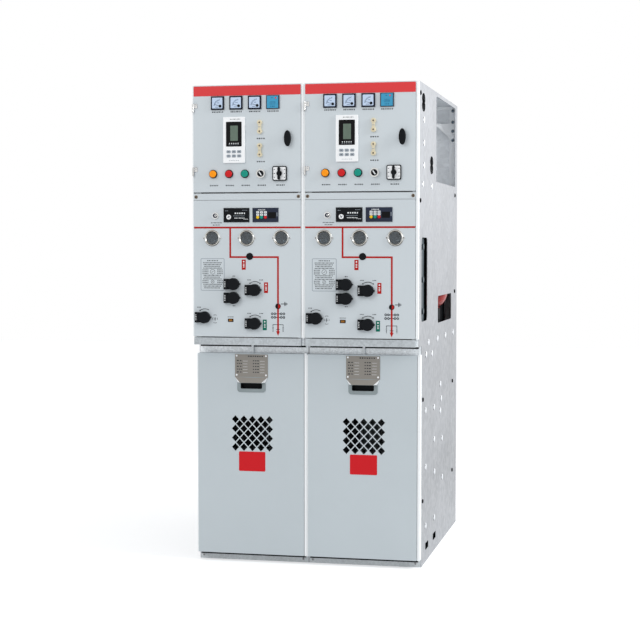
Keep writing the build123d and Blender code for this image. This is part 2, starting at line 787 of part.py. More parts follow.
# Instrument doors and what they carry
door_low = instrument_level + seam
door_high = cubicle_height - sheet
door_height = door_high - door_low
for side, centre in cubicles.items():
    meter_places = [
        on_instrument_door(centre, (share, meter_up_share))
        for share in meter_across_shares
    ]
    lamp_places = [
        on_instrument_door(centre, (share, control_up_share))
        for share in lamp_across_shares
    ]
    link_places = [on_instrument_door(centre, shares) for shares in link_place_shares]
    relay_place = on_instrument_door(centre, relay_place_shares)
    lock_place = on_instrument_door(centre, lock_place_shares)
    key_place = on_instrument_door(centre, (key_switch_across_share, control_up_share))
    selector_place = on_instrument_door(centre, (selector_across_share, control_up_share))

    meter_body_size = meter_size - 2 * meter_flange
    relay_hole_size = (relay_width - 2 * relay_flange, relay_height - 2 * relay_flange)
    with BuildPart() as instrument_door:
        with BuildSketch(front_plane(front_y, centre + panel_centre, (door_low + door_high) / 2)):
            RectangleRounded(panel_width, door_height, panel_corner)
        extrude(amount=-door_depth)
        with BuildSketch(front_plane(front_y + sheet, centre + panel_centre, (door_low + door_high) / 2)):
            Rectangle(panel_width - 2 * sheet, door_height - 2 * sheet)
        extrude(amount=-door_depth, mode=Mode.SUBTRACT)
        with BuildSketch(front_plane(front_y)):
            with Locations(*meter_places):
                Rectangle(meter_body_size + 2 * fit_gap, meter_body_size + 2 * fit_gap)
            with Locations(relay_place):
                Rectangle(*relay_hole_size)
            with Locations(*lamp_places, key_place):
                Circle(lamp_body_radius + fit_gap)
            with Locations(selector_place):
                Circle(lamp_body_radius + fit_gap)
            with Locations(lock_place):
                Circle(lock_hub_radius + fit_gap)
        extrude(amount=-sheet, mode=Mode.SUBTRACT)
        for up_share in door_hinge_up_shares:
            low = instrument_level + up_share * instrument_height
            block(
                (centre + door_pin_across, front_y - sheet, low),
                (centre + panel_left + door_hinge_leaf_width, front_y, low + knuckle_height),
            )
            with BuildSketch(Plane.XY.offset(low)):
                with Locations((centre + door_pin_across, door_pin_y)):
                    Circle(door_swing_radius - cubicle_gap)
            extrude(amount=knuckle_height)
            with BuildSketch(Plane.XY.offset(low)):
                with Locations((centre + door_pin_across, door_pin_y)):
                    Circle(door_pin_radius + door_pin_gap)
            extrude(amount=knuckle_height, mode=Mode.SUBTRACT)
    save(instrument_door, f"instrument_door_{side}")

    with BuildPart() as meters:
        with BuildSketch(front_plane(front_y)):
            with Locations(*meter_places):
                Rectangle(meter_size, meter_size)
        extrude(amount=meter_height)
        chamfer(meters.faces().sort_by(Axis.Y).group_by(Axis.Y)[0].edges(), module_edge)
        with BuildSketch(front_plane(front_y)):
            with Locations(*meter_places):
                Rectangle(meter_body_size, meter_body_size)
        extrude(amount=-meter_body_depth)
    save(meters, f"panel_meters_{side}")

    with BuildPart() as relay:
        with BuildSketch(front_plane(front_y)):
            with Locations(relay_place):
                RectangleRounded(relay_width, relay_height, panel_corner)
        extrude(amount=relay_thickness)
        fillet(relay.faces().sort_by(Axis.Y)[0].edges(), module_edge)
        with BuildSketch(front_plane(front_y)):
            with Locations(relay_place):
                Rectangle(*[size - 2 * fit_gap for size in relay_hole_size])
        extrude(amount=-relay_body_depth)
    save(relay, f"protection_relay_{side}")

    with BuildPart() as lamps:
        with BuildSketch(front_plane(front_y)):
            with Locations(*lamp_places):
                Circle(lamp_radius)
        extrude(amount=lamp_ring_height)
        chamfer(lamps.faces().sort_by(Axis.Y).group_by(Axis.Y)[0].edges(), module_edge)
        with BuildSketch(front_plane(front_y - lamp_ring_height)):
            with Locations(*lamp_places):
                Circle(lamp_lens_radius)
        extrude(amount=lamp_lens_height)
        fillet(lamps.faces().sort_by(Axis.Y).group_by(Axis.Y)[0].edges(), lamp_lens_height / 2)
        with BuildSketch(front_plane(front_y)):
            with Locations(*lamp_places):
                Circle(lamp_body_radius)
        extrude(amount=-lamp_body_depth)
    save(lamps, f"signal_lamps_{side}")

    with BuildPart() as fittings:
        with BuildSketch(front_plane(front_y)):
            with Locations(key_place):
                Circle(key_switch_radius)
        extrude(amount=key_switch_height, taper=draft_angle)
        with BuildSketch(front_plane(front_y)):
            with Locations(selector_place):
                RectangleRounded(selector_size, selector_size, selector_corner)
        extrude(amount=selector_thickness)
        with BuildSketch(front_plane(front_y)):
            with Locations(key_place, selector_place):
                Circle(lamp_body_radius)
        extrude(amount=-lamp_body_depth)
        with BuildSketch(front_plane(front_y - selector_thickness)):
            with Locations(selector_place):
                Circle(knob_shaft_radius + fit_gap)
        extrude(amount=-selector_thickness, mode=Mode.SUBTRACT)
        with BuildSketch(front_plane(front_y)):
            with Locations(*link_places):
                Rectangle(link_waist_width, link_height - 2 * link_lobe_radius)
                with GridLocations(link_waist_width, link_height - 2 * link_lobe_radius, 1, 2):
                    Circle(link_lobe_radius)
        extrude(amount=link_thickness)
    save(fittings, f"door_fittings_{side}")

    with BuildPart() as selector_knob:
        with BuildSketch(front_plane(front_y - selector_thickness - fit_gap)):
            with Locations(selector_place):
                Circle(knob_radius)
        extrude(amount=knob_height)
        with BuildSketch(front_plane(front_y - selector_thickness - fit_gap - knob_height)):
            with Locations(selector_place):
                SlotOverall(knob_lever_length, knob_lever_width, rotation=90)
        extrude(amount=knob_lever_height, taper=draft_angle)
        with BuildSketch(front_plane(front_y - selector_thickness - fit_gap)):
            with Locations(selector_place):
                Circle(knob_shaft_radius)
        extrude(amount=-selector_thickness)
    save(selector_knob, f"selector_knob_{side}")

    with BuildPart() as lock_handle:
        with BuildSketch(front_plane(front_y - lock_hub_height)):
            with Locations(lock_place):
                Ellipse(lock_width / 2, lock_length / 2)
        extrude(amount=lock_thickness)
        fillet(lock_handle.faces().sort_by(Axis.Y)[0].edges(), lid_edge)
        with BuildSketch(front_plane(front_y - lock_hub_height)):
            with Locations(lock_place):
                Circle(lock_hub_radius)
        extrude(amount=-lock_hub_height - sheet - fit_gap)
        with BuildSketch(front_plane(front_y + sheet + fit_gap)):
            with Locations(lock_place):
                Circle(lock_nut_radius)
        extrude(amount=-lock_nut_thickness)
    save(lock_handle, f"lock_handle_{side}")

# Lift-off cable doors with a diamond grille, a finger cup and hooks
cable_door_low = base_height + seam
cable_door_high = lower_strip_level - seam
cable_door_height = cable_door_high - cable_door_low
vent_half_across = (vent_pitch_across - vent_web * 2**0.5) / 2
vent_half_up = (vent_pitch_up - vent_web * 2**0.5) / 2
vent_points = (
    (vent_half_across, 0),
    (0, vent_half_up),
    (-vent_half_across, 0),
    (0, -vent_half_up),
)
vent_up = cable_door_low + vent_up_share * cable_door_height
plate_top = cable_door_high - plate_top_margin
plate_foot = plate_top - plate_height
hood_foot = plate_foot - hood_height
handle_up = hood_foot - finger_height / 2
rim_span = finger_width + 2 * rim_width
hook_edges = (panel_left + sheet, panel_left + panel_width - sheet - hook_width)
pin_places = [
    (edge + hook_width / 2, cable_door_low + up_share * cable_door_height)
    for edge in hook_edges
    for up_share in hook_up_shares
]
hook_top_gap = hook_pin_radius + fit_gap

with BuildPart() as door_hook_pins:
    with BuildSketch(front_plane(lower_frame_y)):
        for centre in cubicles.values():
            for across, up in pin_places:
                with Locations((centre + across, up)):
                    Circle(hook_pin_radius)
    extrude(amount=running_gap + cable_door_depth / 2)
save(door_hook_pins, "door_hook_pins")

for side, centre in cubicles.items():
    with BuildPart() as cable_door:
        door_middle = (cable_door_low + cable_door_high) / 2
        with BuildSketch(front_plane(lower_front_y, centre + panel_centre, door_middle)):
            RectangleRounded(panel_width, cable_door_height, panel_corner)
        extrude(amount=-cable_door_depth)
        with BuildSketch(front_plane(lower_front_y + sheet, centre + panel_centre, door_middle)):
            Rectangle(panel_width - 2 * sheet, cable_door_height - 2 * sheet)
        extrude(amount=-cable_door_depth, mode=Mode.SUBTRACT)
        with BuildSketch(front_plane(lower_front_y, centre + vent_across, vent_up)):
            with GridLocations(vent_pitch_across, vent_pitch_up, vent_columns, (vent_rows + 1) // 2):
                Polygon(*vent_points)
            with GridLocations(vent_pitch_across, vent_pitch_up, vent_columns - 1, vent_rows // 2):
                Polygon(*vent_points)
        extrude(amount=-sheet, mode=Mode.SUBTRACT)
        with BuildSketch(front_plane(lower_front_y, centre, handle_up)):
            RectangleRounded(finger_width, finger_height, finger_corner)
        extrude(amount=-sheet, mode=Mode.SUBTRACT)
        block(
            (centre + tongue_across - tongue_width / 2, tongue_y, cable_door_high - sheet),
            (
                centre + tongue_across + tongue_width / 2,
                tongue_y + tongue_thickness,
                cable_door_high + tongue_reach,
            ),
        )
        for across, up in pin_places:
            hook_low = up + hook_top_gap
            block(
                (
                    centre + across - hook_width / 2,
                    lower_front_y + cable_door_depth - hook_width,
                    hook_low,
                ),
                (
                    centre + across + hook_width / 2,
                    lower_front_y + cable_door_depth - sheet,
                    hook_low + hook_height,
                ),
            )
    save(cable_door, f"cable_door_{side}")

    # Name plate bent out at its foot into a hood over the finger cup
    with BuildPart() as pull_handle:
        with BuildSketch(front_plane(lower_front_y)):
            with Locations((centre, (plate_top + plate_foot) / 2)):
                Rectangle(plate_width, plate_height)
            with Locations((centre, handle_up)):
                RectangleRounded(rim_span, finger_height + 2 * rim_width, rim_width)
        extrude(amount=sheet)
        with BuildSketch(front_plane(lower_front_y, centre, handle_up)):
            RectangleRounded(finger_width - 2 * fit_gap, finger_height - 2 * fit_gap, finger_corner)
        extrude(amount=-finger_depth)
        hood_sections = (
            (plate_foot, plate_width, plate_width, sheet),
            (hood_foot, rim_span, hood_front_width, hood_reach),
        )
        for level, back_width, front_width, reach in hood_sections:
            with BuildSketch(Plane.XY.offset(level)):
                with BuildLine():
                    Polyline(
                        (centre - back_width / 2, lower_front_y),
                        (centre + back_width / 2, lower_front_y),
                        (centre + front_width / 2, lower_front_y - reach),
                        (centre - front_width / 2, lower_front_y - reach),
                        close=True,
                    )
                make_face()
        loft()
        # the hood is hollow underneath, over the fingers
        hollow_reach = hood_reach - 2 * sheet
        hollow_top = hood_foot + hood_height * hood_hollow_share
        for level, reach in ((hood_foot, hollow_reach), (hollow_top, hollow_reach * hood_hollow_share)):
            with BuildSketch(Plane.XY.offset(level)):
                with Locations((centre, lower_front_y - sheet)):
                    Rectangle(hood_front_width - 2 * sheet, reach, align=(Align.CENTER, Align.MAX))
        loft(mode=Mode.SUBTRACT)
        with BuildSketch(front_plane(lower_front_y - sheet, centre, handle_up)):
            RectangleRounded(finger_width - 2 * cup_wall, finger_height - 2 * cup_wall, finger_corner)
        extrude(amount=-finger_depth, mode=Mode.SUBTRACT)
    save(pull_handle, f"pull_handle_{side}")
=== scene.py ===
"""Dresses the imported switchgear: finishes, printed marks, small fittings, light and camera."""
import math

import bmesh
import bpy
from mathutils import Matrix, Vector


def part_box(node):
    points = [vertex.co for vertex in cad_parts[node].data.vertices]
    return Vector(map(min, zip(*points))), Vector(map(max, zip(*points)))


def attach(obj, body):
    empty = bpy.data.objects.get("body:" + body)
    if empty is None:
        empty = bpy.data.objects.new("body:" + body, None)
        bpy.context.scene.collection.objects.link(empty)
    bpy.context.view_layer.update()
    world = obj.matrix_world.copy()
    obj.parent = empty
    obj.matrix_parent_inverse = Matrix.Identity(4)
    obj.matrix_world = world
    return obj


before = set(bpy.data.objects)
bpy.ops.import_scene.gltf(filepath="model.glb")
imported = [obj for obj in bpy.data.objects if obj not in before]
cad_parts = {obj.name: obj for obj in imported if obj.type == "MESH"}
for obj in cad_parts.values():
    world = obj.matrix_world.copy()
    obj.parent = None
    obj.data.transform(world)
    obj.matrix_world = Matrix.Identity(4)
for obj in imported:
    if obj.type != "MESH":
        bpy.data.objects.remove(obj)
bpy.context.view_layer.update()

# Working units are millimetres in the row frame; Blender's are metres
MM = 0.001
SIDES = ("left", "right")
HANDS = (-1, 1)
ROUND_STEPS = 40
SMOOTH_ANGLE = math.radians(32)

# Facing of a surface: its right, its up and its outward direction
FACES = {
    "front": (Vector((1, 0, 0)), Vector((0, 0, 1)), Vector((0, -1, 0))),
    "back": (Vector((-1, 0, 0)), Vector((0, 0, 1)), Vector((0, 1, 0))),
    "right": (Vector((0, 1, 0)), Vector((0, 0, 1)), Vector((1, 0, 0))),
    "left": (Vector((0, 1, 0)), Vector((0, 0, 1)), Vector((-1, 0, 0))),
}


def add_object(name, data):
    """A new object in the scene."""
    piece = bpy.data.objects.new(name, data)
    bpy.context.scene.collection.objects.link(piece)
    return piece


# Reading the frame

# Digits to which vertices are one (metres) and solids count as level (millimetres)
MERGE_DIGITS = 5
LEVEL_DIGITS = 1


def box_mm(node):
    """Lowest and highest corner of a CAD node, in millimetres."""
    low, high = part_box(node)
    return low / MM, high / MM


def middle(box):
    return (box[0] + box[1]) / 2


def islands(node):
    """The boxes of a node's separate solids, in millimetres, from left to right."""
    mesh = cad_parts[node].data
    keys = [tuple(round(c, MERGE_DIGITS) for c in v.co) for v in mesh.vertices]
    parent = {key: key for key in keys}

    def root(key):
        while parent[key] != key:
            parent[key] = parent[parent[key]]
            key = parent[key]
        return key

    for polygon in mesh.polygons:
        first = root(keys[polygon.vertices[0]])
        for index in polygon.vertices[1:]:
            parent[root(keys[index])] = first
    groups = {}
    for key in parent:
        groups.setdefault(root(key), []).append(key)
    boxes = []
    for points in groups.values():
        low = Vector([min(p[i] for p in points) for i in range(3)]) / MM
        high = Vector([max(p[i] for p in points) for i in range(3)]) / MM
        boxes.append((low, high))
    return sorted(boxes, key=lambda box: (round(box[0].x, LEVEL_DIGITS), -box[0].z))


# Materials

# Most of a noise texture's values lie between these
NOISE_LOW, NOISE_HIGH = 0.3, 0.7
CLOUD_DETAIL = 4.0
GRAIN_DETAIL = 2.0
GRAIN_STRENGTH = 0.35
GRAIN_DEPTH = 0.00004
GLOSS_SPREAD = 0.06

# Painted reflection on polished plating: its tones, from faces that look down to faces that look up
PAINTED_REFLECTION_TONES = (
    (0.0, (78, 72, 64)), (0.28, (150, 144, 134)), (0.5, (238, 239, 238)), (0.72, (206, 202, 194)),
    (1.0, (120, 112, 100)),
)

# Zinc: where its ramp is dark, plain and pale, and the share of its crystals in the tone
ZINC_STOPS = (0.35, 0.7, 1.0)
SPANGLE_SHARE = 0.45
ZINC_CLOUDS = 5.0
ZINC_GRAIN = 700.0
ZINC_STRENGTH = 0.25
ZINC_GLOSS = 0.05

# Painted shade on the tall sheets: their tone by height, as shares of SHEET_TOP metres, in bands that a noise
# makes wavy
SHEET_TOP = 1.8
SHEET_PAINTED_SHADE = ((0.0, 0.86), (0.07, 0.78), (0.16, 0.70), (0.26, 0.80), (0.4, 0.80), (0.62, 0.92), (0.8, 1.0))
WAVE_SCALE = 1.6
WAVE_SHARE = 0.12


def linear(rgb):
    """Linear colour from 0-255 screen values, by the sRGB formula."""
    parts = [c / 255 for c in rgb]
    return tuple(c / 12.92 if c <= 0.04045 else ((c + 0.055) / 1.055) ** 2.4 for c in parts)


def shaded(colour, factor):
    return tuple(min(1.0, c * factor) for c in colour) + (1.0,)


def feed(tree, node, inputs):
    """Sets a node's inputs to values, or links them to other nodes' outputs."""
    for name, value in inputs.items():
        if isinstance(value, bpy.types.NodeSocket):
            tree.links.new(value, node.inputs[name])
        else:
            node.inputs[name].default_value = value


def add_node(tree, kind, inputs, output, **settings):
    """An output of a new node with these inputs and settings."""
    node = tree.nodes.new(f"ShaderNode{kind}")
    for name, value in settings.items():
        setattr(node, name, value)
    feed(tree, node, inputs)
    return node.outputs[output]


def new_material(name):
    """A material, its node tree and the place on the object."""
    material = bpy.data.materials.new(name)
    material.use_nodes = True
    return material, material.node_tree, add_node(material.node_tree, "TexCoord", {}, "Object")


def surfaced(material, inputs):
    """The material, with these inputs of its surface."""
    tree = material.node_tree
    feed(tree, tree.nodes["Principled BSDF"], inputs)
    return material


def noise(tree, place, scale, detail=3.0):
    return add_node(tree, "TexNoise", {"Scale": scale, "Detail": detail, "Vector": place}, "Fac")


def ramp(tree, value, stops):
    node = tree.nodes.new("ShaderNodeValToRGB")
    first, last = node.color_ramp.elements
    first.position, first.color = stops[0]
    last.position, last.color = stops[-1]
    for position, colour in stops[1:-1]:
        element = node.color_ramp.elements.new(position)
        element.color = colour
    tree.links.new(value, node.inputs["Fac"])
    return node.outputs["Color"]


def mapped(tree, value, limits):
    """A value mapped from one range to another, both from 0 to 1 but for the limits given."""
    return add_node(tree, "MapRange", {"Value": value, **limits}, "Result")


def spread(tree, value, low, high):
    """Maps a noise value to a range."""
    limits = {"From Min": NOISE_LOW, "From Max": NOISE_HIGH, "To Min": low, "To Max": high}
    return mapped(tree, value, limits)


def multiply_add(tree, value, factor, added):
    return add_node(tree, "Math", {0: value, 1: factor, 2: added}, "Value", operation="MULTIPLY_ADD")


def height_of(tree, vector):
    """The upward part of a place or a direction."""
    return add_node(tree, "SeparateXYZ", {"Vector": vector}, "Z")


def cloudy(tree, place, rgb, vary, scale, detail=3.0):
    """A colour that varies in soft clouds."""
    colour = linear(rgb)
    clouds = noise(tree, place, scale, detail)
    return ramp(tree, clouds, [(NOISE_LOW, shaded(colour, 1 - vary)), (NOISE_HIGH, shaded(colour, 1 + vary))])


def bump(tree, height, strength, distance):
    inputs = {"Strength": strength, "Distance": distance, "Height": height}
    return add_node(tree, "Bump", inputs, "Normal")


def finish(
    name, rgb, rough, vary, cloud=3.0, specular=0.5, metal=0.0, coat=0.0, grain=900.0, depth=GRAIN_DEPTH,
):
    """A painted, moulded or printed surface: grain in the bump, cloudy colour and gloss."""
    material, tree, place = new_material(name)
    fine = noise(tree, place, grain, GRAIN_DETAIL)
    return surfaced(material, {
        "Base Color": cloudy(tree, place, rgb, vary, cloud, CLOUD_DETAIL),
        "Roughness": spread(tree, fine, rough - GLOSS_SPREAD, rough + GLOSS_SPREAD),
        "Normal": bump(tree, fine, GRAIN_STRENGTH, depth),
        "Metallic": metal, "Coat Weight": coat, "Specular IOR Level": specular,
    })


def plating(name):
    """Polished plating with a painted reflection: pale to the front and sides and darker where it turns up or
    down.
    """
    material, tree, place = new_material(name)
    normal = add_node(tree, "NewGeometry", {}, "Normal")
    lean = mapped(tree, height_of(tree, normal), {"From Min": -1.0})
    return surfaced(material, {
        "Base Color": ramp(tree, lean, [(stop, shaded(linear(rgb), 1.0)) for stop, rgb in PAINTED_REFLECTION_TONES]),
        "Roughness": spread(tree, noise(tree, place, 500.0), 0.2, 0.28),
        "Metallic": 0.6,
    })


def with_painted_shade(tree, place, tone, stops):
    """The tone, weakened by height along soft wavy bands as painted shade."""
    height = mapped(tree, height_of(tree, place), {"From Max": SHEET_TOP})
    wave = multiply_add(tree, noise(tree, place, WAVE_SCALE, 2.0), WAVE_SHARE, height)
    shade = ramp(tree, wave, [(stop + WAVE_SHARE / 2, (share, share, share, 1.0)) for stop, share in stops])
    inputs = {"Factor": 1.0, "A": tone, "B": shade}
    return add_node(tree, "Mix", inputs, "Result", data_type="RGBA", blend_type="MULTIPLY")


def zinc(name, rgb, spangle=55.0, vary=0.05, rough=0.42, metal=0.45, fade=None):
    """Hot-dip zinc: crystal spangles that differ in tone and gloss, over fine grain, with painted shade by
    height where fade gives it.
    """
    material, tree, place = new_material(name)
    cells = add_node(tree, "TexVoronoi", {"Scale": spangle, "Vector": place}, "Color")
    red, green = (add_node(tree, "SeparateColor", {"Color": cells}, part) for part in ("Red", "Green"))
    blend = multiply_add(tree, red, SPANGLE_SHARE, noise(tree, place, ZINC_CLOUDS, 5.0))
    tones = [shaded(linear(rgb), factor) for factor in (1 - vary, 1.0, 1 + vary)]
    tone = ramp(tree, blend, list(zip(ZINC_STOPS, tones)))
    return surfaced(material, {
        "Base Color": with_painted_shade(tree, place, tone, fade) if fade else tone,
        "Roughness": spread(tree, green, rough - ZINC_GLOSS, rough + ZINC_GLOSS),
        "Normal": bump(tree, noise(tree, place, ZINC_GRAIN, GRAIN_DETAIL), ZINC_STRENGTH, GRAIN_DEPTH),
        "Metallic": metal,
    })


def clear_glass(name, rgb):
    material, tree, place = new_material(name)
    return surfaced(material, {
        "Base Color": cloudy(tree, place, rgb, 0.03, 12.0),
        "Roughness": spread(tree, noise(tree, place, 90.0), 0.03, 0.06),
        "Transmission Weight": 0.9, "IOR": 1.45,
    })


POWDER = {"rough": 0.42, "grain": 1100, "depth": 0.00005, "vary": 0.02}
LENS = {"rough": 0.3, "vary": 0.06, "cloud": 60, "coat": 0.1, "specular": 0.2}

# Each finish by its short name: material, screen colour, roughness, variation, clouds, specular level
PAINT = {
    "grey": finish("grey_powder_coat", (198, 206, 211), **POWDER),
    # A darker copy of the grey powder coat for the cable doors: painted shade
    "grey_painted_shade": finish("grey_powder_coat_painted_shade", (188, 197, 202), **POWDER),
    # White edge paint: a painted highlight for lit door edges, on the edge strips, lips and the cable doors'
    # tongues
    "edge": finish("white_edge_painted_highlight", (240, 243, 245), 0.40, 0.015, grain=1100),
    # The outer sheets' zinc carries painted shade, darker towards the bottom
    "zinc": zinc("galvanised_sheet_painted_shade", (172, 175, 180), vary=0.09, fade=SHEET_PAINTED_SHADE),
    # Paler zinc for the pressings' domes: painted highlight
    "dimple": zinc("galvanised_pressing_painted_highlight", (224, 227, 231), spangle=90, metal=0.0),
    "zinc_strip": zinc("galvanised_strip", (172, 178, 182), spangle=170, vary=0.16),
    # A paler copy of the strip zinc: painted light against the shade on the set-back lower strips; the front
    # uprights and flanges use it too
    "zinc_painted_light": zinc("galvanised_low_strip_painted_light", (232, 236, 239), spangle=170, vary=0.16),
    # A paler zinc for the base rails: painted light against their shade under the doors
    "zinc_base_painted_light": zinc("galvanised_base_painted_light", (200, 205, 208), spangle=170, vary=0.12, metal=0.15),
    "roof": zinc("galvanised_roof", (205, 209, 213)),
    # Paler copies of the zinc for the inside and its frame: painted light that makes up for the dim light
    # inside the cubicles
    "inner": zinc("galvanised_inside_painted_light", (238, 241, 244), spangle=70, vary=0.08, metal=0.0),
    "frame": zinc("galvanised_frame_painted_light", (250, 252, 254), spangle=70, vary=0.04, metal=0.0),
    "band": finish("red_header_enamel", (212, 54, 57), 0.42, 0.03, grain=700, specular=0.3),
    "mimic": finish("mimic_red_film", (172, 26, 20), 0.5, 0.05, grain=800, specular=0.15),
    "plate_red": finish("red_plate_film", (200, 20, 30), 0.45, 0.04, grain=800, specular=0.2),
    "green_film": finish("green_label_film", (0, 104, 86), 0.5, 0.05, specular=0.15),
    "black": finish("black_moulding", (13, 16, 20), 0.48, 0.12, 20, 0.1, grain=1500),
    "black_gloss": finish("black_window", (8, 9, 11), 0.25, 0.1, specular=0.12),
    "navy": finish("navy_bezel", (14, 18, 36), 0.4, 0.08, 20, 0.08),
    "slate": finish("slate_moulding", (42, 48, 64), 0.45, 0.06, 20, 0.1),
    "sight_back": finish("sight_backing", (58, 65, 76), 0.45, 0.05, 30, 0.1),
    # Paler lower half of each sight backing: painted reflection
    "sight_pale": finish("sight_backing_painted_reflection", (98, 108, 114), 0.45, 0.05, 30, 0.1),
    "white": finish("white_moulding", (240, 242, 244), 0.42, 0.02, 15),
    "face": finish("meter_face", (190, 208, 232), 0.40, 0.03, 30, 0.2),
    "face_ink": finish("meter_scale_ink", (70, 88, 118), 0.5, 0.1, specular=0.15),
    "blue": finish("blue_device_face", (62, 150, 188), 0.4, 0.04, 25, 0.2),
    "blue_ink": finish("blue_device_ink", (34, 80, 116), 0.45, 0.08, specular=0.15),
    "lcd": finish("lcd_film", (98, 114, 102), 0.3, 0.08, 40, 0.2),
    "key": finish("grey_key", (150, 159, 168), 0.45, 0.05, 40, 0.3),
    "ink": finish("dark_ink", (40, 44, 50), 0.55, 0.12, 60, 0.1),
    "white_ink": finish("white_ink", (226, 230, 232), 0.5, 0.04),
    "cream": finish("cream_terminal", (218, 208, 180), 0.45, 0.06, 30, 0.3),
    "chrome": finish("bright_plating", (214, 214, 212), 0.18, 0.05, metal=0.9, grain=400, depth=0.00002),
    # Plating with a painted reflection, for the bezels and key locks
    "ring": plating("bezel_plating_painted_reflection"),
    # Darker plating for the hinges' edges: painted shade
    "hinge_painted_shade": finish("hinge_edge_plating", (128, 128, 138), 0.35, 0.08, metal=0.3, grain=400),
    "steel": finish("turned_steel", (168, 170, 172), 0.34, 0.08, metal=0.9, grain=500),
    "bolt_blue": finish("passivated_bolt", (92, 108, 122), 0.4, 0.12, 60, metal=0.4),
    "brown_steel": finish("tarnished_screw", (112, 98, 82), 0.45, 0.2, 80, 0.3, metal=0.5),
    "nameplate": finish("etched_plate", (138, 134, 128), 0.45, 0.06, metal=0.15, grain=600, specular=0.2),
    "cup": finish("grey_cup_moulding", (138, 148, 151), 0.42, 0.06, 20, 0.25),
    "dark_steel": finish("dark_mechanism_paint", (76, 86, 92), 0.45, 0.14, 14, 0.3, metal=0.1),
    "epoxy": finish("red_epoxy_resin", (150, 24, 20), 0.28, 0.08, 9.0, 0.3, grain=300),
    "rubber": finish("black_rubber", (20, 22, 25), 0.5, 0.15, 18, 0.12),
    # Matt black for rubber edgings and membranes, and painted shade in holes and deep in the mechanism slot
    "recess": finish("black_rubber_and_painted_shade", (7, 8, 9), 0.85, 0.15, 18, 0.0),
    "amber_lens": finish("amber_lens", (252, 150, 0), **LENS),
    "red_lens": finish("red_lens", (198, 18, 24), **LENS),
    "green_lens": finish("green_lens", (0, 142, 124), **LENS),
    "yellow_lens": finish("yellow_lens", (232, 190, 20), **LENS),
    "red_dot": finish("red_dot_lens", (226, 40, 34), 0.35, 0.06, 60, 0.2),
    "amber_window": finish("amber_window", (150, 98, 30), 0.35, 0.2, 70, 0.2),
    "glass": clear_glass("sight_glass", (168, 178, 184)),
}


def paint_faces(node, rule):
    """Gives each face of a CAD node the finish that rule(face middle in mm, its normal) names."""
    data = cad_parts[node].data
    data.materials.clear()
    used = []
    for polygon in data.polygons:
        paint = rule(polygon.center / MM, polygon.normal)
        if paint not in used:
            used.append(paint)
            data.materials.append(PAINT[paint])
        polygon.material_index = used.index(paint)


def paint_node(node, paint):
    paint_faces(node, lambda p, n: paint)


# Outlines, as lists of points in millimetres, anticlockwise

CORNER_STEPS = 6
ARC_STEPS = 16

# Sharpest corners that a ribbon's mitre and an inset follow
MITRE_LIMIT = 0.2
INSET_LIMIT = 0.4


def round_points(width, height, radius):
    points = []
    for turn, (a, b) in enumerate(((1, -1), (1, 1), (-1, 1), (-1, -1))):
        for step in range(CORNER_STEPS + 1):
            angle = math.pi / 2 * (turn - 1 + step / CORNER_STEPS)
            points.append((
                a * (width / 2 - radius) + radius * math.cos(angle),
                b * (height / 2 - radius) + radius * math.sin(angle),
            ))
    return points


def circle_points(radius, steps=ROUND_STEPS):
    return [
        (radius * math.cos(2 * math.pi * i / steps), radius * math.sin(2 * math.pi * i / steps))
        for i in range(steps)
    ]


def arc_points(radius, start, end, steps=ARC_STEPS):
    """Points on an arc, angles in degrees from the right."""
    angles = [math.radians(start + (end - start) * i / steps) for i in range(steps + 1)]
    return [(radius * math.cos(a), radius * math.sin(a)) for a in angles]


def ribbon(points, width):
    """The outline of a line of that width along the points, with mitred corners."""
    left, right = [], []
    for i, point in enumerate(points):
        here = Vector(point)
        before = (here - Vector(points[i - 1])).normalized() if i else None
        after = (Vector(points[i + 1]) - here).normalized() if i + 1 < len(points) else None
        along = ((before or after) + (after or before)).normalized()
        normal = Vector((-along.y, along.x))
        reach = width / 2 / max(MITRE_LIMIT, along.dot(after or before))
        left.append(tuple(here + normal * reach))
        right.append(tuple(here - normal * reach))
    return right + left[::-1]


def moved(points, a, b, turn=0.0):
    c, s = math.cos(math.radians(turn)), math.sin(math.radians(turn))
    return [(a + x * c - y * s, b + x * s + y * c) for x, y in points]


def inset(points, by):
    """The outline drawn in by a distance."""
    result = []
    for i, point in enumerate(points):
        here = Vector(point)
        before = (here - Vector(points[i - 1])).normalized()
        after = (Vector(points[(i + 1) % len(points)]) - here).normalized()
        normal = Vector((-before.y - after.y, before.x + after.x)).normalized()
        lean = max(INSET_LIMIT, normal.dot(Vector((-before.y, before.x))))
        result.append(tuple(here + normal * by / lean))
    return result


# Thickness of printed film, and of ink on it
FILM = 0.35
INK = 0.1

# A dash fills this share of its pitch, and up to DASH_VARY more
DASH_SHARE = 0.48
DASH_VARY = 0.2


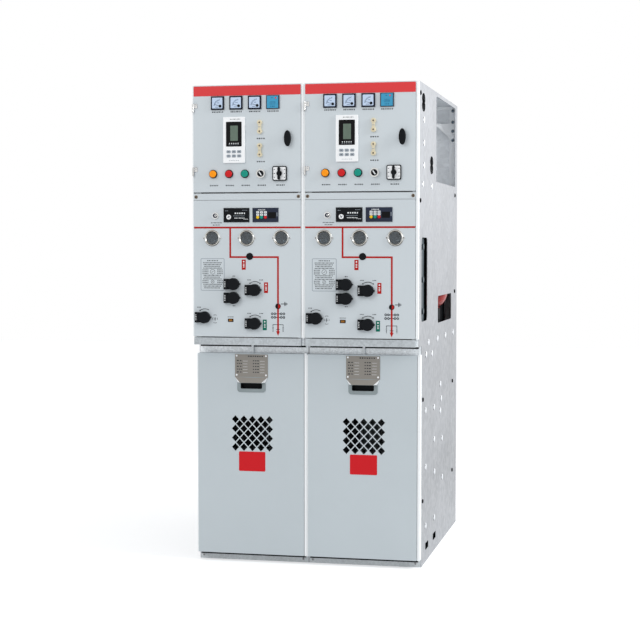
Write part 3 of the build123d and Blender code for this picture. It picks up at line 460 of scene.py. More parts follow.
class Kit:
    """Gathers small raised shapes on one face of the object into one mesh that rides on a body."""

    def __init__(self, name, slot, plane, body="cabinet", facing="front", origin=(0.0, 0.0)):
        self.name, self.body, self.slot_name = name, body, slot
        self.right, self.up, self.out = FACES[facing]
        self.base = self.out * plane
        self.origin = origin
        self.mesh = bmesh.new()
        self.paints = []

    def at(self, a, b):
        """Moves the local origin on the face."""
        self.origin = (a, b)
        return self

    def over(self, box):
        """Moves the local origin to the middle of a box, on a front face."""
        return self.at(middle(box).x, middle(box).z)

    def point(self, a, b, height):
        place = self.right * (a + self.origin[0]) + self.up * (b + self.origin[1])
        return self.mesh.verts.new((place + self.base + self.out * height) * MM)

    def face(self, verts, paint):
        if paint not in self.paints:
            self.paints.append(paint)
        face = self.mesh.faces.new(verts)
        face.material_index = self.paints.index(paint)

    def stack(self, rings, paint):
        """A closed skin over rings of points, each ring a list of (a, b) and a height."""
        loops = [[self.point(a, b, height) for a, b in points] for points, height in rings]
        count = len(loops[0])
        for low, high in zip(loops, loops[1:]):
            for i in range(count):
                j = (i + 1) % count
                self.face((low[i], low[j], high[j], high[i]), paint)
        self.face(loops[0][::-1], paint)
        self.face(loops[-1], paint)

    def prism(self, points, low, high, paint, bevel=0.0):
        rings = [(points, low), (points, high - bevel)]
        if bevel:
            rings.append((inset(points, bevel), high))
        self.stack(rings, paint)

    def rounded(self, a, b, width, height, radius, low, high, paint, bevel=0.0, turn=0.0):
        self.prism(moved(round_points(width, height, radius), a, b, turn), low, high, paint, bevel)

    def bar(self, a, b, width, height, low, high, paint, turn=0.0):
        x, y = width / 2, height / 2
        corners = [(-x, -y), (x, -y), (x, y), (-x, y)]
        self.prism(moved(corners, a, b, turn), low, high, paint)

    def disc(self, a, b, radius, low, high, paint, bevel=0.0, steps=ROUND_STEPS):
        self.prism(moved(circle_points(radius, steps), a, b), low, high, paint, bevel)

    def lathe(self, a, b, profile, paint, steps=ROUND_STEPS):
        """A turned shape from (radius, height) pairs, wall first and nose last."""
        self.stack([(moved(circle_points(r, steps), a, b), h) for r, h in profile], paint)

    def ring(self, a, b, inner, outer, low, high, paint, steps=ROUND_STEPS):
        loops = [
            [self.point(x, y, h) for x, y in moved(circle_points(r, steps), a, b)]
            for r, h in ((outer, low), (outer, high), (inner, high), (inner, low))
        ]
        for lower, upper in zip(loops, loops[1:] + loops[:1]):
            for i in range(steps):
                j = (i + 1) % steps
                self.face((lower[i], lower[j], upper[j], upper[i]), paint)

    def line(self, points, width, low, high, paint):
        self.prism(ribbon(points, width), low, high, paint)

    def screw(self, a, b, radius, paint="steel", slot_turn=20.0):
        """A pan head with a cross recess."""
        profile = [(radius, 0.0), (radius, 0.9), (radius * 0.8, 1.7), (radius * 0.4, 2.1)]
        self.lathe(a, b, profile, paint, 20)
        for turn in (slot_turn, slot_turn + 90):
            self.bar(a, b, radius * 1.1, radius * 0.28, 2.0, 2.25, "ink", turn)

    def marks(self, a, b, width, size, count, paint="ink", height=FILM):
        """A row of plain dashes, which spell nothing."""
        pitch = width / count
        for i in range(count):
            share = DASH_SHARE + DASH_VARY * ((i * 7 + count) % 3) / 2
            self.bar(a - width / 2 + pitch * (i + 0.5), b, pitch * share, size, 0.0, height, paint)

    def draw(self, rows):
        """Draws rows that each hold a shape's name and its arguments."""
        for shape, *row in rows:
            getattr(self, shape)(*row)
        return self

    def build(self):
        bmesh.ops.recalc_face_normals(self.mesh, faces=self.mesh.faces)
        data = bpy.data.meshes.new(self.name)
        self.mesh.to_mesh(data)
        self.mesh.free()
        for paint in self.paints:
            data.materials.append(PAINT[paint])
        data.shade_smooth()
        data.set_sharp_from_angle(angle=SMOOTH_ANGLE)
        piece = add_object(self.name, data)
        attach(piece, self.body)


# Finishes of the CAD nodes

NODE_PAINTS = {
    "front_uprights": "zinc_painted_light", "roof_sheets": "roof", "rear_covers": "inner", "rear_posts": "frame",
    "rear_rails": "frame", "base_rails": "zinc_base_painted_light", "floor_plates": "inner", "partition_plates": "inner",
    "instrument_floors": "inner", "instrument_back_walls": "inner", "strip_end_blocks": "zinc_strip",
    "mechanism_panels": "grey", "panel_top_strips": "grey", "window_bezels": "ring", "window_glass": "glass",
    "fault_modules": "black", "voltage_modules": "slate", "key_locks": "ring", "operating_spindles": "steel",
    "lid_hinge_blocks": "black", "busbar_sleeves": "rubber", "door_hook_pins": "steel",
    # The edge strips' white paint is a painted highlight of the lit door edges
    "front_edge_strips": "edge",
}
GROUP_PAINTS = {
    "side_sheet": "zinc", "operating_lid": "black", "protection_relay": "white", "selector_knob": "black",
    "lock_handle": "black",
}
LAMP_PAINTS = ("amber_lens", "red_lens", "green_lens")

# Faces within FACE_SLACK of a plane lie on it; the others are sizes of the CAD pieces
FACE_SLACK = 0.2
REAR_PLATE = 10.0
LAMP_RING = 5.0
HOOD_PROUD = 2.5
HOOD_ROOT = 1.0
HOOD_DROP = 25.0
PLATE_HEIGHT = 84.0
TONGUE_RISE = 8.0

# A face looks along an axis from this part of its normal on, or leans towards it
FACING = 0.5
LEANING = 0.3

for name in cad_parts:
    for start, paint in GROUP_PAINTS.items():
        if name.startswith(start):
            paint_node(name, paint)
for name, paint in NODE_PAINTS.items():
    paint_node(name, paint)

PANEL = box_mm("mechanism_panels")
FRONT = PANEL[0].y
step_level = box_mm("partition_plates")[0].z
rear_plates = box_mm("mechanism_frames")[1].y - REAR_PLATE
bus_level = max(box[0].z for box in islands("epoxy_modules"))


def hinge_paint_with_shade(normal):
    """Bright to the front, and darker round the edges as painted shade."""
    return "chrome" if normal.y < -FACING else "hinge_painted_shade"


def lamp_paint(side):
    """Black rings, each with its own lens in front."""
    lamps = islands(f"signal_lamps_{side}")

    def rule(p, n):
        if p.y > FRONT - LAMP_RING - FACE_SLACK:
            return "black"
        return LAMP_PAINTS[min(range(len(lamps)), key=lambda i: abs(middle(lamps[i]).x - p.x))]

    return rule


def fitting_paint(side):
    """Cream links above the bright key switch and the black selector."""
    fittings = islands(f"door_fittings_{side}")
    key_switch = min(fittings, key=lambda box: box[1].z - box[0].z)

    def rule(p, n):
        if p.z > fittings[-1][1].z:
            return "cream"
        return "chrome" if p.x < key_switch[1].x else "black"

    return rule


def handle_paint(side):
    """Etched plate and hood, hood cheeks white as a painted highlight, a grey rim and a black cup behind the
    door's front.
    """
    plate_foot = box_mm(f"pull_handle_{side}")[1].z - PLATE_HEIGHT
    front = box_mm(f"cable_door_{side}")[0].y

    def rule(p, n):
        if p.y > front + FACE_SLACK:
            return "black"
        under_hood = n.z < -LEANING and p.z > plate_foot - HOOD_DROP and p.y < front - HOOD_ROOT
        if p.y < front - HOOD_PROUD or under_hood:
            # Cheeks of the hood, facing sideways, are white: painted highlight
            return "white" if abs(n.x) > LEANING else "nameplate"
        return "nameplate" if p.z > plate_foot else "cup"

    return rule


def paint_doors(side):
    """Finishes of one cubicle's doors and of what they carry, face by face."""
    blue_left = islands(f"panel_meters_{side}")[-1][0].x
    tongue = box_mm(f"pull_handle_{side}")[1].z + TONGUE_RISE
    paint_faces(
        f"instrument_door_{side}", lambda p, n: hinge_paint_with_shade(n) if p.y < FRONT - FACE_SLACK else "grey",
    )
    paint_faces(f"panel_meters_{side}", lambda p, n: "slate" if p.x > blue_left else "navy")
    paint_faces(f"signal_lamps_{side}", lamp_paint(side))
    paint_faces(f"door_fittings_{side}", fitting_paint(side))
    # Above the tongue level the cable door takes the white edge paint, as painted light; below it the darker
    # grey, as painted shade
    paint_faces(f"cable_door_{side}", lambda p, n: "edge" if p.z > tongue else "grey_painted_shade")
    paint_faces(f"pull_handle_{side}", handle_paint(side))


# The lower strips take the paler zinc: painted light against the shade under the upper strips
paint_faces("cross_strips", lambda p, n: "zinc_painted_light" if p.z < step_level else "zinc_strip")
# The rear plates deep in the mechanism slot are black as painted shade; the rest is dark mechanism paint
paint_faces("mechanism_frames", lambda p, n: "recess" if p.y > rear_plates else "dark_steel")
# Below the bus level the epoxy modules' legs are black
paint_faces("epoxy_modules", lambda p, n: "epoxy" if p.z > bus_level else "rubber")
paint_faces("hinge_frame_leaves", lambda p, n: hinge_paint_with_shade(n))
for side in SIDES:
    paint_doors(side)


# Small fittings and printed marks, placed from the CAD nodes, in millimetres.

CENTRES = {
    side: (box_mm(f"side_sheet_{side}_outer")[0].x + box_mm(f"side_sheet_{side}_inner")[1].x) / 2
    for side in SIDES
}
panels = dict(zip(SIDES, islands("mechanism_panels")))
PRINT = (0, FILM, "ink")


def nearest(boxes, side):
    """The boxes that belong to one cubicle."""
    other = CENTRES["right" if side == "left" else "left"]
    return [box for box in boxes if abs(middle(box).x - CENTRES[side]) < abs(middle(box).x - other)]


def at_each(places, *rows):
    """The rows at each place; a row here has its shape and what follows the place."""
    return [(shape, *place, *rest) for place in places for shape, *rest in rows]


def front_piece(name, slot, box, rows, body="cabinet"):
    """A piece with one drawing on the front of a box."""
    Kit(name, slot, -box[0].y, body).over(box).draw(rows).build()


# Instrument door

METER_PIVOT = (11, -11.5)
METER_START, METER_SWEEP = 96, 78
METER_TICKS = 8
TICK_START = 21
TICK_ENDS = (26, 24.5)
NEEDLE_TURN = 163
SCALE_INK = (FILM, FILM + INK, "face_ink")
BAND_HEIGHT = 36
BAND_DROP = 3
BAND_MARGIN = 1
CAPTION_HEIGHT = 4.2
LINK_WIDTH = 25

# Rivets of the hinge leaves, from the panel's left edge and the leaf's middle
LEAF_LEFT = -5
LEAF_NEAR = 10
RIVET_ACROSS = 9
RIVET_RISES = (10, 16)


def spoke(start, end, turn):
    """A line out from a meter's pivot."""
    return moved([(start, 0), (end, 0)], *METER_PIVOT, turn)


def meter_scale():
    """Two arcs and the ticks."""
    for radius, width in ((TICK_START, 0.9), (23.5, 0.6)):
        arc = arc_points(radius, METER_START, METER_START + METER_SWEEP)
        yield "line", moved(arc, *METER_PIVOT), width, *SCALE_INK
    for tick in range(METER_TICKS + 1):
        turn = METER_START + METER_SWEEP * tick / METER_TICKS
        yield "line", spoke(TICK_START, TICK_ENDS[tick % 2], turn), 0.8, FILM, FILM + 0.12, "face_ink"


# A quadrant scale with a needle and the round pivot cover in the corner
METER_FACE = (
    ("rounded", 0, 0, 39, 39, 2, 0, FILM, "face", 0.1),
    *meter_scale(),
    ("marks", 3, 0.5, 9, 2.4, 3, "face_ink", FILM + INK),
    ("line", spoke(0, 22, NEEDLE_TURN), 1, FILM, FILM + 0.5, "black"),
    ("disc", *METER_PIVOT, 5.2, FILM, FILM + 0.9, "black", 0.3),
    ("bar", -2, -15, 12, 1.6, *SCALE_INK),
)
BLUE_DEVICE = (
    ("rounded", 0, 0, 42, 44, 1.5, 0, 1, "blue", 0.4),
    ("disc", 11.5, 14.5, 2.6, 1, 1.6, "red_dot", 0.4),
    ("bar", -2, 15, 5, 2, 1, 1.1, "blue_ink"),
    *(("marks", 0, up, width, 2, 6, "blue_ink", 1.1) for up, width in ((1, 20), (-3.4, 24), (-7.8, 22))),
    ("marks", 0, -15.5, 18, 3, 3, "blue_ink", 1.1),
)
RELAY_FACE = (
    ("rounded", 0, 21.3, 59, 90, 3, 0, 0.8, "black_gloss", 0.3),
    ("rounded", 1, 24.5, 28.5, 55, 1.5, 0.8, 0.9, "lcd"),
    *at_each(
        [(across,) for across in (-16, -8, 0, 8, 16)],
        ("bar", -12.5, 3.2, 3.6, 0.8, 0.9, "white_ink"), ("bar", -17.3, 5, 1.2, 0.8, 0.9, "key"),
    ),
    *at_each(
        [(across, up) for up in (-42.5, -58) for across in (-20, 0, 20)],
        ("rounded", 15.5, 10.5, 3.2, 0, 1.2, "key", 0.5), ("bar", 6, 1.8, 1.2, 1.3, "ink"),
    ),
    ("marks", 5, 75.5, 40, 2.6, 8, "ink", 0.15),
    ("marks", 0, -74.5, 40, 2.2, 6, "key", 0.15),
)

# Two clamp screws and the groove between a link's lobes
LINK_FACE = (
    *at_each(
        [(0, -16), (0, 16)], ("ring", 3.6, 6.4, 0, 1.2, "cream", 24),
        ("lathe", ((3, 0), (3, 0.5), (2.2, 0.8)), "brown_steel", 18),
        ("bar", 4.4, 1, 0.8, 0.9, "ink", 30),
    ),
    ("bar", 0, 0, 8, 2, 0, 0.3, "key"),
)
KEY_KNOB = (
    ("lathe", 0, 0, ((11.5, 0), (11.5, 3), (10, 4.5), (4, 4.8)), "black"),
    ("rounded", 0, 0, 17, 4, 1.5, 4.6, 5.2, "white_ink", 0.2, -55),
)
SELECTOR_FACE = (
    ("rounded", 0, 0, 46, 46, 4, 0, 0.12, "white"),
    *at_each(
        [(across, up) for across in (-19, 19) for up in (-14, 0, 14)],
        ("bar", 4.5, 2.4, 0.12, 0.2, "ink"),
    ),
)


def door_details(side):
    body = f"instrument_door_{side}"
    panel = panels[side]
    print_kit = Kit(f"door_print_{side}", "black_plastic", -FRONT, body)
    print_kit.at(middle(panel).x, box_mm(body)[1].z - BAND_DROP - BAND_HEIGHT / 2)
    print_kit.rounded(0, 0, panel[1].x - panel[0].x - BAND_MARGIN, BAND_HEIGHT, 2, 0, 0.6, "band", 0.2)

    meters = islands(f"panel_meters_{side}")
    meter_kit = Kit(f"meter_faces_{side}", "white_plastic", -meters[0][0].y, body)
    for box in meters:
        meter_kit.over(box).draw(BLUE_DEVICE if box is meters[-1] else METER_FACE)
        print_kit.at(middle(box).x, box[0].z - 8).marks(0, 0, 44, CAPTION_HEIGHT, 7)
    meter_kit.build()
    front_piece(
        f"relay_face_{side}", "black_plastic", box_mm(f"protection_relay_{side}"), RELAY_FACE, body,
    )

    fittings = islands(f"door_fittings_{side}")
    links = [box for box in fittings if box[1].x - box[0].x < LINK_WIDTH]
    link_kit = Kit(f"link_screws_{side}", "steel", -links[0][0].y, body)
    for box in links:
        link_kit.over(box).draw(LINK_FACE)
        print_kit.at(middle(box).x, box[0].z - 16.5).marks(3, 0, 33, CAPTION_HEIGHT, 4)
    link_kit.build()

    lamps = islands(f"signal_lamps_{side}")
    switches = [box for box in fittings if box not in links]
    for box in lamps + switches:
        print_kit.at(middle(box).x, middle(lamps[0]).z - 42).marks(3, 0, 33, CAPTION_HEIGHT, 5)
    key_switch, selector = switches
    front_piece(f"key_switch_knob_{side}", "black_plastic", key_switch, KEY_KNOB, body)
    front_piece(f"selector_face_{side}", "white_plastic", selector, SELECTOR_FACE, body)

    for box in islands("hinge_frame_leaves"):
        if abs(box[0].x - (panel[0].x + LEAF_LEFT)) < LEAF_NEAR:
            for rise in RIVET_RISES:
                print_kit.at(panel[0].x + RIVET_ACROSS, (box[0].z + box[1].z) / 2 + rise)
                print_kit.lathe(0, 0, [(2.6, 2), (2.6, 2.5), (1.6, 3)], "steel", 16)
    print_kit.build()


# Mechanism panel, from the cubicle's middle and the floor

BUS_WIDTH = 6.4
BUS_LEVEL = 1241.4
BUS_ENDS = [
    (corner.x - CENTRES["left"] + inward, BUS_LEVEL) for corner, inward in zip(panels["left"], (0.5, -0.5))
]
LINE_X = 113.5
MIMIC_PATH = ((-66.5, BUS_LEVEL), (-66.5, 1133.5), (LINE_X, 1133.5), (LINE_X, 862))
ARROW = ((106.5, 863), (LINE_X, 846.5), (120.5, 863))
EARTH_DISC = (LINE_X, 954.5)
EARTH_SIGN = 963
FORK = ((2.8, 887.5), (19, 887.5), (19, 880))
LABELS = (("mimic", -15.5, 1105.7, 37), ("mimic", 68.5, 1022, 39), ("green_film", 63.5, 886, 39))
LABEL_INK = (FILM, FILM + INK, "white_ink")
SYMBOL = (-125, 906)
PLATE = (-134, 1069.5)
PLATE_ROWS = 15
SPLIT_ROWS = (4, 5, 6, 10, 11)
SPLIT_ROW = ((-27, 24, 5), (28, 22, 4))
COUNTER = (-65.5, 901.5)
TURN_RADIUS = 31
TURN_END = 33
TURN_HEAD = ((-3.2, 0), (3.2, 0), (0, 6.5))
FAULT_DIAL = (-28.5, -7)
LID_MARK_RISE = 29
TAB_PROUD = 12
STRIP_SCREW_INSET = 9
SIGHT_SUNK = 3.4
SIGHT_RADIUS = 23.5
EAR_PROUD = 2.5
EAR_REACH = 30.6


def colour_label(paint, across, up, height):
    """A film with a dot and three bars."""
    yield "rounded", across, up, 15, height, 1.2, 0, FILM, paint
    yield "disc", across, up + height * 0.3, 2.8, *LABEL_INK, 0, ARC_STEPS
    for rise in (2, -3.2, -8.4):
        yield "bar", across, up + rise, 5.6, 3, *LABEL_INK


def line_symbols():
    """Dark symbols on both sides of the diagram's lower end, and an earth sign."""
    for hand in HANDS:
        for up in (914, 927):
            for reach in (12, 22):
                yield "ring", LINE_X + hand * reach, up, 2, 4.6, *PRINT, 18
            yield "bar", LINE_X + hand * 6, up, 5, 2.8, *PRINT
        yield "line", [(LINE_X + hand * reach, up) for reach, up in FORK], 1.8, *PRINT
        for step in range(4):
            yield "bar", LINE_X + hand * 19, 876.5 - 4.6 * step, 4.6 - step * 0.5, 2.4, *PRINT
    yield "bar", LINE_X, 870, 14, 1.6, 0, FILM + 0.2, "ink"
    for reach, width, height in ((18, 13, 2.6), (25.5, 2.6, 15), (29.5, 2.6, 10), (33.5, 2.6, 5)):
        yield "bar", LINE_X + reach, EARTH_SIGN, width, height, *PRINT


def round_symbol(a, b):
    """Two caps, two side arcs and a cross, beside the lowest lid."""
    for hand in HANDS:
        yield "line", moved(arc_points(11, 55 * hand, 125 * hand), a, b + 4 * hand), 1.4, *PRINT
        yield "line", moved(arc_points(9, 90 + 60 * hand, 90 + 110 * hand), a, b), 1.4, *PRINT
    yield "bar", a, b, 1.8, 14, *PRINT
    yield "bar", a, b, 6.5, 2.2, *PRINT


def instruction_plate(a, b):
    """A grey-framed film with rows of plain marks and two blank diagrams."""
    yield "rounded", a, b, 91, 119, 5, 0, 0.3, "key"
    yield "rounded", a, b, 86.4, 114.4, 3.4, 0, 0.4, "grey"
    yield "marks", a, b + 51, 44, 3.4, 7, "ink", 0.5
    for row in range(PLATE_ROWS):
        step = row % 3
        whole_row = ((-1.5 * step, 72 - 5 * step, 14 - step),)
        for across, width, count in SPLIT_ROW if row in SPLIT_ROWS else whole_row:
            yield "marks", a + across, b + 43 - 6.6 * row, width, 3.4, count, "ink", 0.5
    for rise, radius in ((10, 9.5), (-26, 6.5)):
        yield "ring", a, b + rise, radius - 1.3, radius, 0.3, 0.5, "ink", 28
        yield "bar", a, b + rise, radius, 1.5, 0.3, 0.5, "ink", 35


def turn_arrow(a, b, ends):
    """A printed arc over a spindle with a head at the given ends, and marks beside it."""
    yield "line", moved(arc_points(TURN_RADIUS, 60, 120), a, b), 2.2, *PRINT
    for hand in ends:
        angle = 90 - TURN_END * hand
        tip = arc_points(TURN_RADIUS, angle, angle, 1)[0]
        head = moved(TURN_HEAD, a + tip[0], b + tip[1], -90 * hand - TURN_END * hand)
        yield "prism", head, 0, FILM + 0.05, "ink"
        yield "marks", a + 23 * hand, b + 37, 15, 3, 3


# The red line diagram with its two position discs and colour labels, then the other print
PANEL_PRINT = (
    ("line", BUS_ENDS, BUS_WIDTH, 0, FILM, "mimic"),
    ("line", MIMIC_PATH, BUS_WIDTH, 0, FILM + 0.05, "mimic"),
    ("prism", ARROW, 0, FILM + INK, "mimic"),
    ("lathe", 7, 1136, ((13, 0), (13, 1.4), (11.8, 2.2), (9, 2.3)), "black"),
    ("lathe", *EARTH_DISC, ((10, 0), (10, 1.2), (9, 1.9)), "black"),
    ("prism", moved(arc_points(8, -90, 90), LINE_X + 0.5, EARTH_DISC[1]), 1.9, 2.1, "mimic"),
    *(row for label in LABELS for row in colour_label(*label)),
    *line_symbols(),
    *round_symbol(*SYMBOL),
    *instruction_plate(*PLATE),
    ("rounded", *COUNTER, 21, 12, 1, 0, 0.8, "black", 0.3),
    ("rounded", *COUNTER, 13, 7, 0.5, 0.8, 0.9, "amber_window"),
    ("marks", COUNTER[0], COUNTER[1] + 12.5, 24, 2.6, 5),
)
LOCK_PRINT = (("marks", 4, -26, 44, 3, 8), ("marks", 4, -34, 30, 3, 5))
FAULT_FACE = (
    ("disc", *FAULT_DIAL, 9, 0, 0.8, "white", 0.3, 12),
    *(("bar", *FAULT_DIAL, 12, 2, 0.8, 0.95, "slate", turn) for turn in (25, 115)),
    *(("marks", *row, 0.2) for row in (
        (14, 6.5, 42, 5, 5, "white_ink"), (10, -3, 44, 1.8, 9, "key"), (12, -11, 40, 3.2, 7, "white_ink"),
        (-36, 15.5, 12, 2, 2, "key"), (32, 17.5, 20, 1.6, 4, "key"), (36, -15, 18, 2, 4, "white_ink"),
    )),
)


def lamp_column(across, paint):
    """Two white keys over a signal lamp."""
    for up in (10, 1):
        yield "bar", across, up, 10.5, 7, 0, 0.25, "white_ink"
        yield "bar", across, up, 4, 1.8, 0.25, 0.35, "slate"
    yield "lathe", across, -8.5, ((5.6, 0), (5.6, 0.8), (4.6, 2.2), (2.2, 2.8)), paint, 24


VOLTAGE_FACE = (
    ("marks", -14, 18.5, 28, 3.4, 6, "white_ink", 0.2),
    *lamp_column(-28.5, "yellow_lens"), *lamp_column(-14.1, "green_lens"), *lamp_column(0.3, "red_lens"),
    ("rounded", 25, -1, 29, 22, 1, 0, 0.4, "black_gloss"),
    ("marks", 44, 2, 4, 14, 1, "key", 0.2),
)
# The key lock's slate barrel, with a chrome plug and key slot set to the right of it; the plug is real, and
# its bright off-centre spot is a painted highlight that leaves a dark crescent on the left
LOCK_FACE = (
    ("disc", 0, 0, 8.4, 0, 0.5, "slate", 0.2),
    ("disc", 2, 0.5, 4.4, 0.5, 1.3, "chrome", 0.4),
    ("bar", 2, 0.5, 1.6, 5, 1.3, 1.5, "black", 20),
)
# A dark backing behind each sight glass, with a paler lower half as a painted reflection and a white dot as a
# painted glint
SIGHT_BACK = (
    ("disc", 0, 0, SIGHT_RADIUS, -0.8, 0, "sight_back"),
    ("prism", arc_points(SIGHT_RADIUS, -168, -12, 24), 0, 0.1, "sight_pale"),
    ("lathe", 9, -9, ((2.6, 0.1), (2.6, 0.2), (1.6, 0.3)), "white_ink", 16),
)
EAR_SCREWS = [
    ("lathe", EAR_REACH * hand, 0, ((2.4, 0), (2.4, 0.6), (1.4, 1.1)), "ink", 14) for hand in HANDS
]
TAB_MARKS = [("bar", 5, rise, 3.6, 3.4, 0, 0.2, "white_ink") for rise in (9, 3, -3, -9)]


def mechanism_details(side):
    centre = CENTRES[side]
    key_lock = nearest(islands("key_locks"), side)[0]
    kit = Kit(f"panel_print_{side}", "grey_paint", -FRONT, origin=(centre, 0))
    kit.draw(PANEL_PRINT)
    lids = [middle(box_mm(f"operating_lid_{side}_{number}")) for number in range(1, 6)]
    spots = [(lid.x - centre, lid.z) for lid in lids]
    for (across, up), hand in zip(spots, (1, -1)):
        kit.marks(across, up + LID_MARK_RISE * hand, 12, 3, 2)
    for spot, ends in zip(spots[2:], (HANDS, HANDS[:1], HANDS)):
        kit.draw(turn_arrow(*spot, ends))
    kit.over(key_lock).draw(LOCK_PRINT).build()

    tab_kit = Kit(f"lid_tab_marks_{side}", "white_plastic", -FRONT + TAB_PROUD)
    for box in nearest(islands("lid_hinge_blocks"), side):
        tab_kit.at(box[0].x, middle(box).z).draw(TAB_MARKS)
    tab_kit.build()

    for node, rows in (("fault_modules", FAULT_FACE), ("voltage_modules", VOLTAGE_FACE)):
        box = nearest(islands(node), side)[0]
        front_piece(f"{node}_face_{side}", "black_plastic", box, rows)
    front_piece(f"key_lock_face_{side}", "chrome", key_lock, LOCK_FACE)

    strip_kit = Kit(f"strip_screws_{side}", "steel", -FRONT)
    strip_level = middle(box_mm("panel_top_strips")).z
    for corner, inward in zip(panels[side], (1, -1)):
        strip_kit.screw(corner.x + STRIP_SCREW_INSET * inward, strip_level, 6.2, "brown_steel", 35)
    strip_kit.build()

    glass_kit = Kit(f"sight_backs_{side}", "slate_plastic", -FRONT - SIGHT_SUNK)
    for box in nearest(islands("window_glass"), side):
        glass_kit.over(box).draw(SIGHT_BACK)
    glass_kit.build()
    ear_kit = Kit(f"bezel_screws_{side}", "steel", -FRONT + EAR_PROUD)
    for box in nearest(islands("window_bezels"), side):
        ear_kit.over(box).draw(EAR_SCREWS)
    ear_kit.build()


# Cable door and base

RED_PLATE_SPOT = (2, 376)
RED_PLATE = (0, 0, 101, 73, 4, 0, 0.5, "plate_red", 0.15)
NAME_PLATE_PROUD = 2
NAME_PLATE_DROP = 41
NAME_ROWS = 5
BASE_SCREW_INSET = 10
BASE_SCREW = (13, 5)


def name_plate():
    """Four rivets, a title and two columns of marks with blank lines, all plain."""
    yield from at_each(
        [(56 * hand, 35.5 * up) for hand in HANDS for up in HANDS],
        ("lathe", ((3.4, 0), (3.4, 0.6), (1.8, 1.2)), "white", 16),
    )
    yield "marks", 16, 34, 60, 4.4, 7, "ink", 0.15
    for row in range(NAME_ROWS):
        up = 17.5 - 10.6 * row
        for left, width, count in ((-57, 22, 2 + row % 2), (4, 26, 3)):
            yield "marks", left + width / 2, up, width, 3.6, count, "ink", 0.15
            yield "bar", left + width + 12, up - 1.6, 17, 0.9, 0, 0.15, "white_ink"


def cable_details(side):
    centre = CENTRES[side]
    body = f"cable_door_{side}"
    plane = -box_mm(body)[0].y
    across, up = RED_PLATE_SPOT
    kit = Kit(f"cable_door_plate_{side}", "grey_paint", plane, body, origin=(centre + across, up))
    kit.rounded(*RED_PLATE)
    kit.build()
    plate_kit = Kit(f"name_plate_marks_{side}", "grey_plastic", plane + NAME_PLATE_PROUD, body)
    plate_kit.at(centre, box_mm(f"pull_handle_{side}")[1].z - NAME_PLATE_DROP)
    plate_kit.draw(name_plate()).build()


def base_details():
    kit = Kit("base_screws", "steel", -box_mm("base_rails")[0].y)
    for side in SIDES:
        for corner, inward in zip(panels[side], (1, -1)):
            kit.screw(corner.x + BASE_SCREW_INSET * inward, *BASE_SCREW)
    kit.build()


# Black strips of painted shade and pale lips between the pieces of the front

SHADE_STRIP_THICK = 3
TOP_SHADE_STRIP = (5.5, 10)
FOOT_SHADE_STRIP = (5, 8.5)
FLANGE_HEIGHT = 12
FLANGE_THICK = 2
LIP_WIDTH = 3.6
LIP_GAP = 1
LIP_SUNK = 3
LIP_DROP = 40


def front_seals():
    """Black strips over and under the cable doors, painted shade for the gaps there, and pale lips, a painted
    highlight, that close the gap left of each panel.
    """
    base = box_mm("base_rails")
    shade_strips = Kit("door_shade_strips", "black_rubber", -base[0].y)
    for low, high in panels.values():
        for level, (drop, height) in ((step_level, TOP_SHADE_STRIP), (base[1].z, FOOT_SHADE_STRIP)):
            shade_strips.bar((low.x + high.x) / 2, level - drop, high.x - low.x, height, 0, SHADE_STRIP_THICK, "rubber")
    shade_strips.build()
    flanges = Kit("strip_flanges", "galvanised", -base[0].y)
    for low, high in islands("cross_strips"):
        if high.z < step_level + LIP_GAP:
            flanges.bar(
                (low.x + high.x) / 2, low.z - FLANGE_HEIGHT / 2, high.x - low.x, FLANGE_HEIGHT,
                -FLANGE_THICK, 0, "zinc_painted_light",
            )
    flanges.build()
    leaves = sorted({
        tuple(round(corner.z, LEVEL_DIGITS) for corner in box) for box in islands("hinge_frame_leaves")
    })
    strip_low, strip_high = box_mm("front_edge_strips")
    door = box_mm("cable_door_left")
    spans = [(strip_low.z, door[1].z - LIP_DROP, -door[0].y, -base[0].y)]
    foot = PANEL[0].z
    for low, high in leaves + [(strip_high.z, strip_high.z)]:
        spans.append((foot, low - LIP_GAP, -FRONT, -box_mm("front_uprights")[0].y))
        foot = high + LIP_GAP
    for index, (foot, top, face, frame_face) in enumerate(spans):
        lips = Kit(f"panel_lips_{index}", "grey_paint", face)
        root = frame_face - face + LIP_GAP
        for low, high in panels.values():
            across = low.x - LIP_GAP - LIP_WIDTH / 2
            lips.bar(across, (foot + top) / 2, LIP_WIDTH, top - foot, root, -LIP_SUNK, "edge")
        lips.build()


# Sides and back: places by depth behind the front and height

PRESSINGS = (
    (127, 1631), (129, 1548), (131, 1467), (101, 1398), (326, 1398), (198, 773), (347, 767), (580, 631),
    (605, 571), (408, 556), (580, 525), (187, 566), (411, 432), (629, 410), (192, 355), (422, 305), (639, 253),
    (421, 127), (197, 134),
)
STEP_PRESSINGS = (257, 494, 720, 948)
STEP_RISE = 4
# A pressing's dome, paler than the sheet as a painted highlight, with a dark slit on either side
PRESSING = (
    ("lathe", 0, 0, ((12, 0), (10, 1.6), (4, 2.4)), "dimple", 24),
    *(("rounded", -15, 7.5 * hand, 11, 6, 2.5, 0, 0.25, "ink") for hand in HANDS),
)
SIDE_BOLTS = (
    (36, 1721.5), (36, 1337.4), (985.8, 1384.9), (983.7, 985), (926.4, 613.2), (110.2, 613.2),
    (926.4, 239.6), (110.2, 239.6),
)
